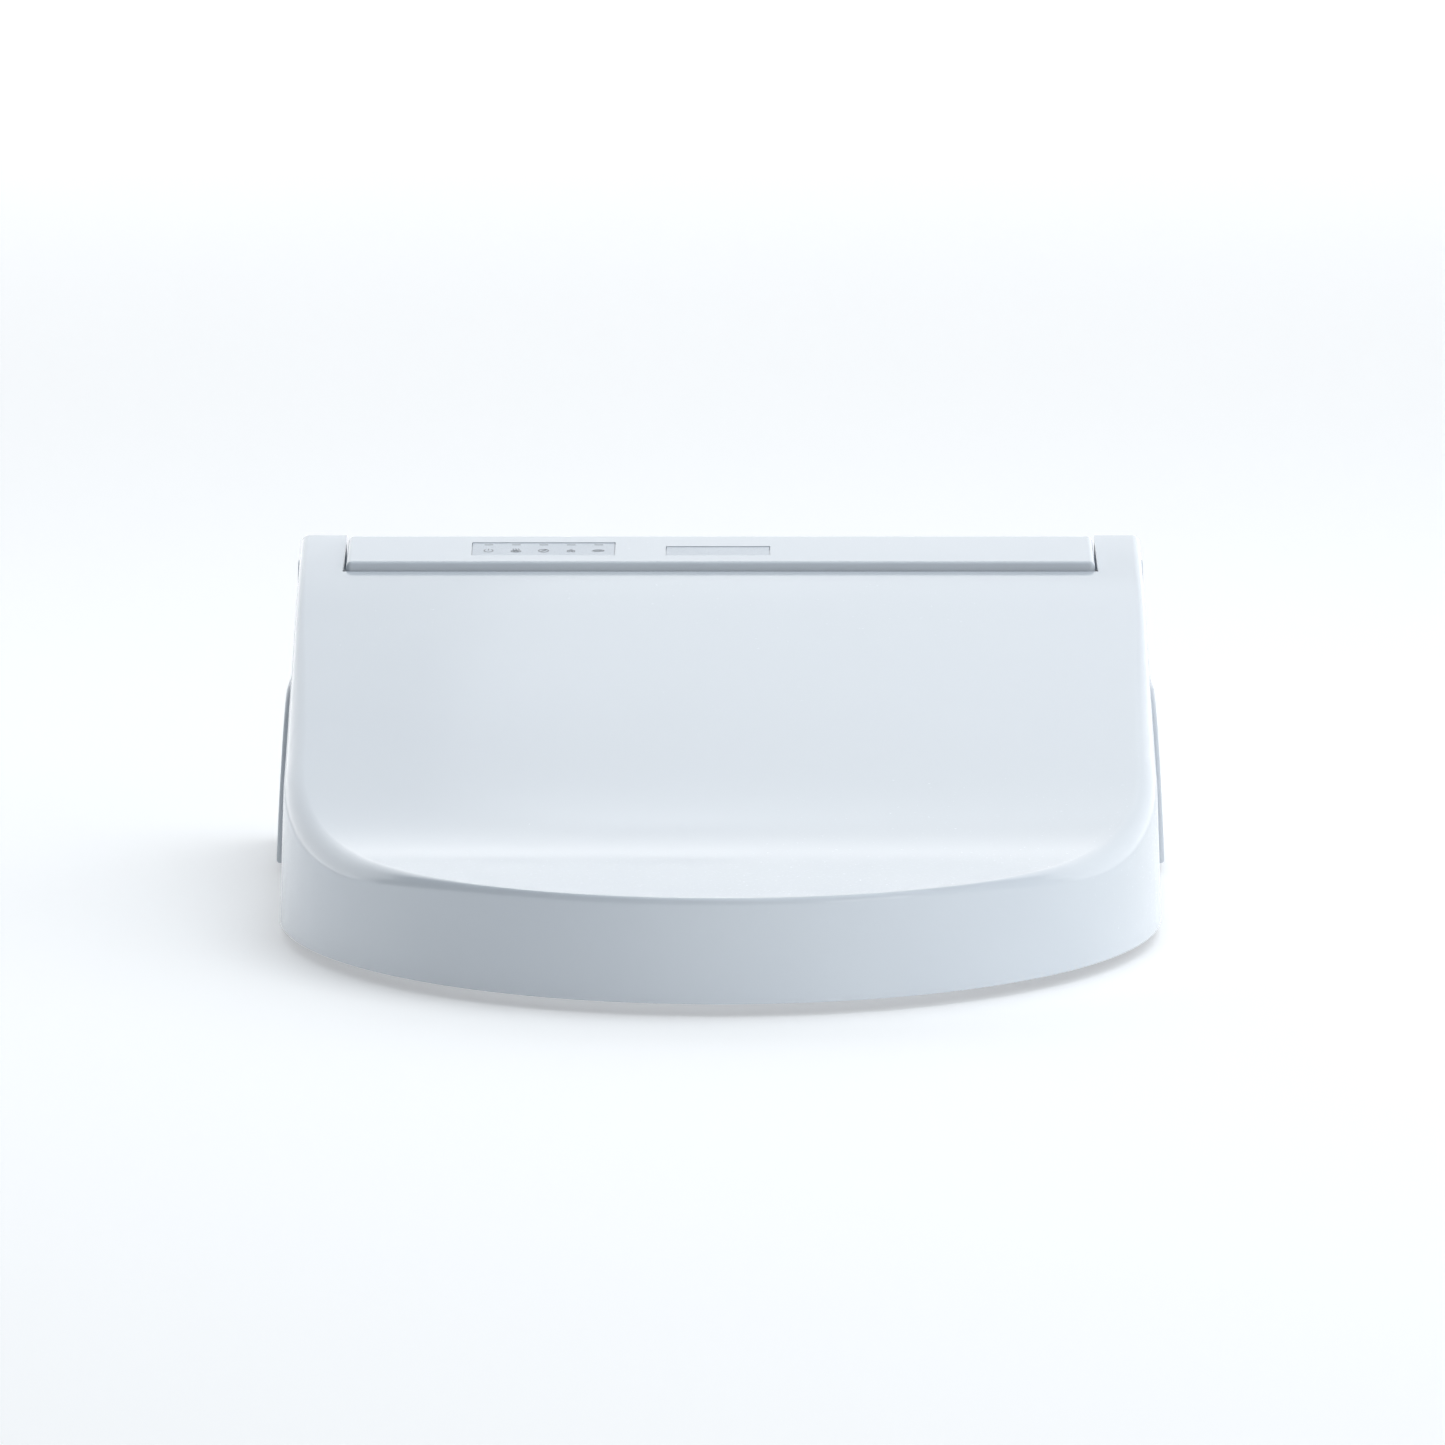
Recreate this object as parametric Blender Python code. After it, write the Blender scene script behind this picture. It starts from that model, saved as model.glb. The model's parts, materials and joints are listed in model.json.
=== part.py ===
"""Electric bidet seat: a soft-closing lid and a heated seat hinged on a slim water and control unit.

World axes: +X to the right, +Y to the rear, +Z up, metres.  The origin is the bottom centre of the
whole seat, on the plane that the rubber pads and the mounting plate stand on.
The unit slides on its mounting plate, the seat and the lid turn about one cross axis at the back,
and a spray nozzle runs forwards and down through a shuttered opening in the unit's front.
"""
import math

import bmesh
import bpy
from mathutils import Matrix, Vector

for leftover in list(bpy.data.objects):
    bpy.data.objects.remove(leftover, do_unlink=True)

MM = 0.001

# ---------------------------------------------------------------- driving dimensions
WIDTH = 389 * MM            # widest point, at the unit's side covers
LENGTH = 530 * MM           # front tip of the lid to the unit's back
HEIGHT = 137 * MM           # crest of the unit's top cover
GAP = 0.3 * MM              # running and parting clearance between pieces
JOG = 1 * MM                # how far a cutting shape runs past the surface that it opens

FRONT = -LENGTH / 2
REAR = LENGTH / 2

# lid
LID_WALL = 3 * MM
LID_EDGE = 5 * MM           # height of the skirt's lower edge
LID_ARC = 250 * MM          # length of the half-ellipse at the front
LID_FLARE = 6 * MM          # how far each side spreads between the arc and the back
LID_DRAFT = math.tan(math.radians(2))
LID_FILLET_TIP = 3 * MM     # edge rounding at the front tip, at the front corners and at the back
LID_FILLET_CORNER = 9 * MM
LID_FILLET_BACK = 4 * MM
LID_LEVEL = 47.5 * MM       # top height over the level front
LID_RISE = 0.2443           # slope of the top behind the level front
LID_BEND = 145.7 * MM       # where the slope starts, from the front tip
LID_BEND_RUN = 20.8 * MM    # how gently it starts
LID_EASE = 0.42             # flattening towards the back, 1/m
LID_EASE_FROM = 430 * MM
LID_BACK = REAR - 60 * MM   # rear edge between the ears
EAR_BACK = REAR - 2 * MM
EAR_ROUND = 4 * MM
EAR_SKIN = 3.5 * MM
LID_HALF = WIDTH / 2 - LID_FLARE

# hinge line, shared by the seat and the lid
HINGE_Y = REAR - 30 * MM
HINGE_Z = HEIGHT - 17.5 * MM
SHAFT_R = 4 * MM
HUB_R = 8.3 * MM
EAR_REACH = 42 * MM         # radius of the ear's lower edge about the hinge line

# unit
UNIT_HALF = WIDTH / 2 - 28.9 * MM
UNIT_FRONT = REAR - 145.5 * MM
UNIT_FLOOR = 5 * MM
UNIT_WALL = 2.5 * MM
PARTING = 58 * MM           # where the top cover meets the base case
FASCIA = 2.2 * MM
FASCIA_HALF = UNIT_HALF - 4 * MM
SHELF_FRONT = HEIGHT - 40 * MM   # cover height at its front edge
SHELF_BACK = HEIGHT - 18 * MM    # cover height in front of the raised strip
STRIP_FRONT = LID_BACK + 2.5 * MM
STRIP_LOW = HEIGHT - 7 * MM      # strip height at its front edge
CREST_Y = REAR - 18 * MM
LANE = 1.3 * MM             # slit between the strip's ends and the lid's ears
SIDE_WALL = 2.2 * MM
SIDE_TOP = 76 * MM
SIDE_BACK = REAR - 3 * MM

# seat arms run beside the unit
ARM_IN = UNIT_HALF + 3.1 * MM
ARM_OUT = WIDTH / 2 - 10.5 * MM

# seat
SEAT_INSET = 8.5 * MM       # seat outline inside the lid's outline
SEAT_MID = FRONT + LID_ARC  # widest station of the seat and of its hole
SEAT_BACK = UNIT_FRONT - 7.5 * MM
SEAT_LOW = 14 * MM
SEAT_TOP = 38 * MM
BAR_LOW = 46 * MM
BAR_TOP = 62 * MM
SEAT_WALL = 2.5 * MM
SEAT_ROUND = 8 * MM
HOLE_HALF = 105 * MM
HOLE_FRONT = 160 * MM       # reach of the hole in front of the widest station
HOLE_BACK = 85 * MM         # and behind it
FOIL = 0.6 * MM
HEATER_SAG = 2.5 * MM        # how far the foil hangs below the seat's top where that rises

# nozzle: a straight tube that slopes down towards the front
NOZZLE_TILT = math.radians(35)
NOZZLE_R = 6.5 * MM
NOZZLE_LENGTH = 125 * MM
NOZZLE_TIP = 12 * MM
NOZZLE_REST = -26 * MM      # tip station at rest, along the slope
NOZZLE_BELOW = 14.5 * MM    # axis below the shutter's hinge, square to the slope
SHUTTER_Z = 42 * MM
SHUTTER_LENGTH = 26 * MM
SHUTTER_HALF = 17 * MM
ROLLER_R = 8 * MM
ROLLER_AT = -75 * MM
CRADLE_HALF = 10 * MM
CRADLE_FROM = -34 * MM
CRADLE_TO = -146 * MM

# the flaps' hinge line lies in the middle of the front plate
FASCIA_FRONT = UNIT_FRONT - GAP - FASCIA
FLAP_Y = FASCIA_FRONT + FASCIA / 2
HINGE_BLOCK = 4 * MM
SHUTTER_AT = Vector((FLAP_Y, SHUTTER_Z))
DOWN_SLOPE = Vector((-math.cos(NOZZLE_TILT), -math.sin(NOZZLE_TILT)))
OFF_SLOPE = Vector((-math.sin(NOZZLE_TILT), math.cos(NOZZLE_TILT)))

# air paths
DRYER_X = -55 * MM
DRYER_HALF = 20 * MM
DRYER_Z = 35.5 * MM
DRYER_LENGTH = 20 * MM
FILTER_X = 80 * MM
FILTER_HALF = 20 * MM
FILTER_LOW = 13 * MM
FILTER_TALL = 24 * MM
FILTER_DEEP = 46 * MM
BLOWER_R = 24 * MM
BLOWER_TALL = 28 * MM
BLOWER_Y = UNIT_FRONT + 72 * MM
IMPELLER_BLADES = 11

# unit internals
PANEL_X = -78.5 * MM
PANEL_HALF = 31.8 * MM
PANEL_FRONT = STRIP_FRONT + 10.5 * MM
PANEL_DEEP = 20 * MM
PLATE_X = -1.1 * MM
PLATE_HALF = 23.1 * MM
PLATE_DEEP = 14 * MM
RECESS = 1.1 * MM
SHEET = 0.55 * MM
LAMPS = 5
LAMP_PITCH = 12.2 * MM
BOARD = 1.6 * MM
BOARD_X = (-UNIT_HALF + 20 * MM, -64 * MM)
BOARD_Y = (UNIT_FRONT + 16 * MM, UNIT_FRONT + 80 * MM)
BOARD_Z = 75 * MM
SENSOR_X = (FASCIA_HALF - 46 * MM, FASCIA_HALF - 28 * MM)
SENSOR_Z = (62 * MM, 74 * MM)
BOSS_R = 5 * MM
BOSSES = [
    (side * (UNIT_HALF - 15 * MM), y)
    for side in (-1, 1)
    for y in (UNIT_FRONT + 11 * MM, REAR - 13 * MM)
]
SCREW_R = 1.9 * MM
SIDE_FITTING_Z = 30 * MM
BUTTON_R = 8.7 * MM
BUTTON_Y = REAR - 33 * MM
INLET_Y = REAR - 77 * MM

# mounting plate
BASE_PLATE = 4.7 * MM
BASE_PLATE_HALF = 95 * MM
BASE_PLATE_FRONT = REAR - 115 * MM
BASE_PLATE_BACK = REAR - 13 * MM
BOLT_HALF = 70 * MM         # half the spacing of the fixing bolts
SLOT_HALF = 4.5 * MM
PAD_R = 8 * MM


# ---------------------------------------------------------------- finishes
def finish(name, colour, roughness, metallic=0.0):
    """A Principled BSDF with one colour, roughness and metallic value."""
    made = bpy.data.materials.new(name)
    made.use_nodes = True
    shader = made.node_tree.nodes["Principled BSDF"]
    shader.inputs["Base Color"].default_value = (*colour, 1)
    shader.inputs["Roughness"].default_value = roughness
    shader.inputs["Metallic"].default_value = metallic
    made.diffuse_color = (*colour, 1)
    return made


GLOSS_WHITE = finish("gloss_white_plastic", (0.74, 0.80, 0.86), 0.12)
SATIN_WHITE = finish("satin_white_plastic", (0.70, 0.74, 0.78), 0.35)
SMOKED = finish("smoked_window", (0.05, 0.05, 0.06), 0.15)
FILM = finish("printed_film", (0.62, 0.68, 0.74), 0.25)
RUBBER = finish("grey_rubber", (0.16, 0.17, 0.18), 0.75)
BLACK = finish("black_plastic", (0.03, 0.03, 0.035), 0.45)
NATURAL = finish("natural_nylon", (0.62, 0.60, 0.54), 0.5)
CLEAR = finish("clear_acrylic", (0.75, 0.80, 0.82), 0.08)
LAMINATE = finish("green_laminate", (0.03, 0.16, 0.07), 0.4)
STEEL = finish("stainless_steel", (0.60, 0.60, 0.61), 0.28, 1.0)
FOIL_FINISH = finish("aluminium_foil", (0.72, 0.73, 0.74), 0.35, 1.0)
BRASS = finish("nickel_brass", (0.66, 0.62, 0.54), 0.25, 1.0)


# ---------------------------------------------------------------- solids as bmeshes
def closed(bm):
    """Point every face of a finished shape outwards."""
    bmesh.ops.recalc_face_normals(bm, faces=bm.faces)
    return bm


def prism(points, low, high, axis):
    """A closed outline swept along X, Y or Z between two stations."""
    place = {
        "X": lambda a, b, h: (h, a, b),
        "Y": lambda a, b, h: (a, h, b),
        "Z": lambda a, b, h: (a, b, h),
    }[axis]
    bm = bmesh.new()
    rings = [[bm.verts.new(place(a, b, h)) for a, b in points] for h in (low, high)]
    for ring in rings:
        bm.faces.new(ring)
    for i in range(len(points)):
        j = (i + 1) % len(points)
        bm.faces.new((rings[0][i], rings[0][j], rings[1][j], rings[1][i]))
    return closed(bm)


def block(x, y, z):
    """A box from three (low, high) pairs."""
    return prism([(x[0], y[0]), (x[1], y[0]), (x[1], y[1]), (x[0], y[1])], z[0], z[1], "Z")


def circle(centre, radius, sides):
    """Points around a circle."""
    turn = 2 * math.pi / sides
    return [
        (centre[0] + radius * math.cos(turn * i), centre[1] + radius * math.sin(turn * i))
        for i in range(sides)
    ]


def rod(centre, radius, low, high, axis, sides=20):
    """A round bar along an axis; centre gives the other two coordinates."""
    return prism(circle(centre, radius, sides), low, high, axis)


def tilted_rod(start, end, radius, sides=24):
    """A round bar between two points."""
    bm = bmesh.new()
    along = Vector(end) - Vector(start)
    bmesh.ops.create_cone(
        bm, cap_ends=True, segments=sides, radius1=radius, radius2=radius, depth=along.length
    )
    turn = Vector((0, 0, 1)).rotation_difference(along).to_matrix().to_4x4()
    middle = Matrix.Translation((Vector(start) + Vector(end)) / 2)
    bmesh.ops.transform(bm, matrix=middle @ turn, verts=bm.verts)
    return bm


# ---------------------------------------------------------------- objects
def pivot(name, at):
    """An empty on a joint's axis, which carries the pieces that move with it."""
    empty = bpy.data.objects.new(name, None)
    empty.location = at
    bpy.context.collection.objects.link(empty)
    return empty


def piece(name, bm, look, carrier=None, crease=32):
    """A named solid; a moving one gets its origin on its carrier's axis."""
    mesh = bpy.data.meshes.new(name)
    if carrier:
        bmesh.ops.translate(bm, vec=-carrier.location, verts=bm.verts)
    bm.to_mesh(mesh)
    bm.free()
    mesh.shade_smooth()
    mesh.set_sharp_from_angle(angle=math.radians(crease))
    mesh.materials.append(look)
    made = bpy.data.objects.new(name, mesh)
    made.parent = carrier
    bpy.context.collection.objects.link(made)
    return made


def shape(target, bm, operation):
    """Add a hidden shape to a piece, or take it away."""
    mesh = bpy.data.meshes.new(target.name + "_tool")
    bm.to_mesh(mesh)
    bm.free()
    tool = bpy.data.objects.new(mesh.name, mesh)
    tool.hide_render = True
    tool.display_type = "WIRE"
    bpy.context.collection.objects.link(tool)
    step = target.modifiers.new(operation.lower(), "BOOLEAN")
    step.operation = operation
    step.solver = "EXACT"
    step.object = tool


def cut(target, *tools):
    for bm in tools:
        shape(target, bm, "DIFFERENCE")


def add(target, *tools):
    for bm in tools:
        shape(target, bm, "UNION")


def ramp(y, start, end):
    """0 before the start, 1 after the end, and a smooth rise between."""
    t = min(max((y - start) / (end - start), 0), 1)
    return t * t * (3 - 2 * t)


# ---------------------------------------------------------------- lid
def lid_top(y):
    """Height of the lid's top: level, then a soft bend into a slope that eases off at the back."""
    s = y - FRONT
    bend = LID_BEND_RUN * math.log1p(math.exp((s - LID_BEND) / LID_BEND_RUN))
    ease = LID_EASE * max(s - LID_EASE_FROM, 0) ** 2
    over = max(y - (EAR_BACK - EAR_ROUND), 0)
    corner = EAR_ROUND - math.sqrt(max(EAR_ROUND ** 2 - over ** 2, 0))
    return LID_LEVEL + LID_RISE * bend - ease - corner


def lid_fillet(y):
    """Radius of the lid's edge: tight at the tip, wide round the front corners, less at the back."""
    s = y - FRONT
    grow = (LID_FILLET_CORNER - LID_FILLET_TIP) * ramp(s, 20 * MM, 130 * MM)
    fade = (LID_FILLET_CORNER - LID_FILLET_BACK) * ramp(s, LID_ARC, LENGTH - 60 * MM)
    return LID_FILLET_TIP + grow - fade


def lid_outline(inset, back, arc_steps=20, side_steps=6):
    """Right half of the lid's plan, front tip first, moved inwards by an even amount."""
    points = []
    for i in range(arc_steps + 1):
        turn = math.pi / 2 * i / arc_steps
        out = Vector((math.sin(turn) / LID_HALF, -math.cos(turn) / LID_ARC)).normalized()
        on = Vector((LID_HALF * math.sin(turn), SEAT_MID - LID_ARC * math.cos(turn)))
        points.append(on - inset * out)
    start = back - EAR_ROUND
    stations = [SEAT_MID + (start - SEAT_MID) * i / side_steps for i in range(1, side_steps + 1)]
    stations += [start + EAR_ROUND * math.sin(math.radians(a)) for a in (35, 65, 90)]
    for y in stations:
        spread = LID_FLARE * (y - SEAT_MID) / (REAR - SEAT_MID)
        points.append(Vector((LID_HALF + spread - inset, y)))
    return points


def lid_form(inset, low, back):
    """The lid's outer form, or one parallel to it, as a closed solid down to a level."""

    def ring(extra, height):
        rows = []
        for p in lid_outline(inset + extra, back):
            top = lid_top(p.y) - inset
            rows.append((p.x, p.y, height(top)))
        return rows

    def leaning(turn):
        """A ring of the fillet; the skirt leans inwards by its draft on the way up."""
        rows = []
        base = lid_outline(inset, back)
        for p in base:
            fillet = max(lid_fillet(p.y) - inset, 2 * MM)
            rise = lid_top(p.y) - inset - fillet - LID_EDGE
            extra = LID_DRAFT * rise + fillet * (1 - math.cos(turn))
            q = lid_outline(inset + extra, back)[len(rows)]
            rows.append((q.x, q.y, lid_top(q.y) - inset - fillet * (1 - math.sin(turn))))
        return rows

    rings = [ring(LID_DRAFT * (low - LID_EDGE), lambda top: low)]
    rings += [leaning(math.radians(a)) for a in (0, 30, 60, 90)]
    bm = bmesh.new()
    count = len(rings[0])
    right = [[bm.verts.new((max(x, 0), y, z)) for x, y, z in rows] for rows in rings]
    left = [
        [right[k][0]] + [bm.verts.new((-x, y, z)) for x, y, z in rows[1:]]
        for k, rows in enumerate(rings)
    ]
    for side in (right, left):
        for k in range(len(rings) - 1):
            for i in range(count - 1):
                bm.faces.new((side[k][i], side[k][i + 1], side[k + 1][i + 1], side[k + 1][i]))
    for k in (0, len(rings) - 1):
        bm.faces.new((right[k][0], right[k][1], left[k][1]))
        for i in range(1, count - 1):
            bm.faces.new((right[k][i], right[k][i + 1], left[k][i + 1], left[k][i]))
    back_face = [row[-1] for row in right] + [row[-1] for row in reversed(left)]
    bm.faces.new(back_face)
    return closed(bm)


def side_edge(clear):
    """Points of the curve between the lid's skirt and the side cover, from the front edge up."""
    low, top = LID_EDGE, SIDE_TOP + 2 * MM
    rise, run = top - low - clear, 54 * MM - clear
    knee = HINGE_Y - 35 * MM
    steps = [math.radians(a) for a in range(0, 91, 15)]
    return [(knee - run * math.cos(a), low + rise * math.sin(a)) for a in steps]


def lid_shell(carrier):
    made = piece("lid_shell", lid_form(0, LID_EDGE, EAR_BACK), GLOSS_WHITE, carrier)
    cut(made, lid_form(LID_WALL, -10 * MM, LID_BACK + JOG))
    strip = UNIT_HALF + LANE
    past = REAR + 10 * MM
    cut(made, block((-strip, strip), (LID_BACK, past), (-10 * MM, HEIGHT + 10 * MM)))
    lane_out = ARM_OUT + 2.5 * MM
    skin_back = EAR_BACK - EAR_SKIN
    skin_low = HINGE_Z - 4 * MM
    under = [
        (y, lid_top(y) - LID_WALL)
        for y in (LID_BACK - 5 * MM, HINGE_Y - 10 * MM, HINGE_Y + 8 * MM, skin_back)
    ]
    pocket = [(LID_BACK - 5 * MM, -10 * MM)] + under
    pocket += [(skin_back, skin_low), (past, skin_low), (past, -10 * MM)]
    for side in (-1, 1):
        reach = sorted((side * (strip - JOG), side * lane_out))
        cut(made, prism(pocket, *reach, "X"))
    sweep = [
        (HINGE_Y + EAR_REACH * math.sin(a), HINGE_Z - EAR_REACH * math.cos(a))
        for a in [math.radians(10 * i) for i in range(6)]
    ]
    edge = side_edge(0)
    below = [(edge[0][0], -10 * MM)] + edge + sweep
    below += [(past, sweep[-1][1]), (past, -10 * MM)]
    cut(made, prism(below, -WIDTH, WIDTH, "X"))
    for side in (-1, 1):
        face = ARM_OUT + GAP
        boss = sorted((side * face, side * (lane_out + JOG)))
        bore = sorted((side * (face - JOG), side * (lane_out + 1.2 * MM)))
        add(made, rod((HINGE_Y, HINGE_Z), HUB_R, *boss, "X", 24))
        cut(made, rod((HINGE_Y, HINGE_Z), SHAFT_R + GAP, *bore, "X", 24))
    return made


def lid_pieces():
    carrier = pivot("lid_pivot", (0, HINGE_Y, HINGE_Z))
    lid_shell(carrier)
    ends = (-(ARM_OUT + 2.5 * MM + 0.9 * MM), -(UNIT_HALF - 38 * MM))
    piece("lid_shaft", rod((HINGE_Y, HINGE_Z), SHAFT_R, *ends, "X", 24), STEEL, carrier)
    pad_y = FRONT + 60 * MM
    for side, word in ((-1, "left"), (1, "right")):
        low = seat_high(pad_y) + GAP
        high = lid_top(pad_y) - LID_WALL - GAP
        pad = rod((side * 70 * MM, pad_y), 7 * MM, low, high, "Z")
        piece("lid_pad_" + word, pad, RUBBER, carrier)


# ---------------------------------------------------------------- seat
def seat_high(y):
    return SEAT_TOP + (BAR_TOP - SEAT_TOP) * ramp(y, SEAT_BACK - 152 * MM, SEAT_BACK - 22 * MM)


def seat_low(y):
    return SEAT_LOW + (BAR_LOW - SEAT_LOW) * ramp(y, SEAT_BACK - 107 * MM, SEAT_BACK - 49 * MM)


def rounded(half, ahead, behind, square, turn):
    """A point on an outline that is elliptical in front and squarer behind its widest station."""
    c, s = math.cos(turn), math.sin(turn)
    if s <= 0:
        return Vector((half * c, SEAT_MID + ahead * s))
    power = 2 / square
    spread = s * s             # spaces the points more evenly along the straight sides
    return Vector((
        half * math.copysign((1 - spread ** 2) ** (power / 2), c),
        SEAT_MID + behind * spread ** power,
    ))


def seat_ring(inset, low, high, edge, foot=0.0, steps=44):
    """A closed ring that follows the seat, inside its outlines by an inset."""
    def outlines(shift, turn):
        half, reach, behind = LID_HALF - SEAT_INSET, LID_ARC - SEAT_INSET, SEAT_BACK - SEAT_MID
        outer = rounded(half - shift, reach - shift, behind - shift, 6, turn)
        return outer, rounded(HOLE_HALF + shift, HOLE_FRONT + shift, HOLE_BACK + shift, 3, turn)

    sections = []
    for i in range(steps):
        turn = 2 * math.pi * (i + 0.5) / steps
        outer, inner = outlines(inset, turn)
        middle = sum(outlines(0, turn), Vector((0, 0))) / 2
        bottom, top = low(middle.y), high(middle.y)
        across = (outer - inner).normalized()
        corner = edge * (1 - math.sqrt(0.5))
        rows = [(inner + across * foot, bottom), (outer - across * foot, bottom)]
        if foot:
            rows += [(outer, bottom + foot)]
        rows += [(outer, top - edge)]
        if edge:
            rows += [
                (outer - across * corner, top - corner),
                (outer - across * edge, top),
                (inner + across * edge, top),
                (inner + across * corner, top - corner),
            ]
        rows += [(inner, top - edge)]
        if foot:
            rows += [(inner, bottom + foot)]
        sections.append([(p.x, p.y, z) for p, z in rows])
    bm = bmesh.new()
    made = [[bm.verts.new(p) for p in section] for section in sections]
    for i in range(steps):
        here, there = made[i], made[(i + 1) % steps]
        for k in range(len(here)):
            n = (k + 1) % len(here)
            bm.faces.new((here[k], here[n], there[n], there[k]))
    return closed(bm)


def arm_profile():
    """Side view of an arm: a root along the seat's side, a taper and a round hub."""
    root = SEAT_BACK - 72 * MM
    leave = SEAT_BACK - 17 * MM
    lean = math.atan2(HINGE_Z - BAR_LOW, HINGE_Y - leave)
    hub = [
        (HINGE_Y + HUB_R * math.cos(a), HINGE_Z + HUB_R * math.sin(a))
        for a in [lean - math.pi / 2 + math.pi * i / 10 for i in range(11)]
    ]
    start = [(root, seat_low(root) + 5 * MM), (leave, BAR_LOW + 1.5 * MM)]
    return start + hub + [(leave, BAR_TOP - 2.5 * MM), (root, seat_high(root) - 4 * MM)]


def seat_pieces():
    carrier = pivot("seat_pivot", (0, HINGE_Y, HINGE_Z))
    shell = seat_ring(0, seat_low, seat_high, SEAT_ROUND, foot=2 * MM)
    top = piece("seat_top", shell, GLOSS_WHITE, carrier)
    hollow = seat_ring(
        SEAT_WALL, lambda y: seat_low(y) - JOG, lambda y: seat_high(y) - SEAT_WALL, 5 * MM
    )
    cut(top, hollow)
    for side in (-1, 1):
        reach = sorted((side * ARM_IN, side * ARM_OUT))
        past = sorted((side * (ARM_IN - JOG), side * (ARM_OUT + JOG)))
        add(top, prism(arm_profile(), *reach, "X"))
        cut(top, rod((HINGE_Y, HINGE_Z), SHAFT_R + GAP, *past, "X", 24))
    floor = seat_ring(SEAT_WALL + GAP, seat_low, lambda y: seat_low(y) + 2.5 * MM, 0)
    base = piece("seat_base", floor, SATIN_WHITE, carrier)
    for side in (-1, 1):
        notch = sorted((side * (ARM_IN - GAP), side * WIDTH))
        cut(base, block(notch, (SEAT_BACK - 87 * MM, SEAT_BACK), (0, BAR_TOP)))

    def under(y):
        """Height of the foil's top: close under the level front, a little lower up the rise."""
        rise = ramp(y, SEAT_BACK - 160 * MM, SEAT_BACK - 130 * MM)
        return seat_high(y) - SEAT_WALL - GAP - HEATER_SAG * rise

    beside_arms = LID_HALF - SEAT_INSET - ARM_IN + JOG
    foil = seat_ring(beside_arms, lambda y: under(y) - FOIL, under, 0)
    piece("seat_heater", foil, FOIL_FINISH, carrier)
    ends = (UNIT_HALF - 38 * MM, ARM_OUT + 2.5 * MM + 0.9 * MM)
    piece("seat_shaft", rod((HINGE_Y, HINGE_Z), SHAFT_R, *ends, "X", 24), STEEL, carrier)
    for across, y, word in ((103, SEAT_MID - 135 * MM, "front"), (141, SEAT_MID - 20 * MM, "rear")):
        for side, hand in ((-1, "left"), (1, "right")):
            pad = rod((side * across * MM, y), PAD_R, 0, SEAT_LOW - GAP, "Z")
            piece("seat_pad_" + word + "_" + hand, pad, RUBBER, carrier)


# ---------------------------------------------------------------- unit: covers and case
def strip_top(y):
    """Height of the strip behind the lid, which slopes up to the crest."""
    return STRIP_LOW + (HEIGHT - STRIP_LOW) * (y - STRIP_FRONT) / (CREST_Y - STRIP_FRONT)


def shelf_top(y):
    """Height of the cover's slope under the lid."""
    part = (y - UNIT_FRONT) / (LID_BACK - 1.5 * MM - UNIT_FRONT)
    return SHELF_FRONT + (SHELF_BACK - SHELF_FRONT) * part


def cover_profile(wall, low):
    """Side view of the top cover, or of the room inside it."""
    nose = STRIP_FRONT + wall
    bend = LID_BACK - 1.5 * MM
    back_run = REAR - CREST_Y - wall
    back_drop = 14 * MM
    points = [(UNIT_FRONT + wall, low), (UNIT_FRONT + wall, shelf_top(UNIT_FRONT + wall) - wall)]
    points += [(bend, SHELF_BACK - wall), (nose, SHELF_BACK - wall)]
    points += [(nose, STRIP_LOW - wall - 1.5 * MM), (nose + 1.5 * MM, strip_top(nose) - wall)]
    points += [
        (CREST_Y + back_run * math.sin(a), HEIGHT - wall - back_drop * (1 - math.cos(a)))
        for a in [math.radians(18 * i) for i in range(6)]
    ]
    return points + [(REAR - wall, low)]


def strip_recess(x, y, depth, top):
    """A slot square to the strip's slope, between two depths below its surface."""
    lean = math.atan2(HEIGHT - STRIP_LOW, CREST_Y - STRIP_FRONT)
    off = Vector((-math.sin(lean), math.cos(lean)))
    points = []
    for station, lift in ((y[0], -depth), (y[1], -depth), (y[1], -top), (y[0], -top)):
        on = Vector((station, strip_top(station))) + off * lift
        points.append((on.x, on.y))
    return prism(points, x[0], x[1], "X")


def around(middle, half):
    return (middle - half, middle + half)


def lamp_stations():
    return [PANEL_X + LAMP_PITCH * (i - (LAMPS - 1) / 2) for i in range(LAMPS)]


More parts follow.
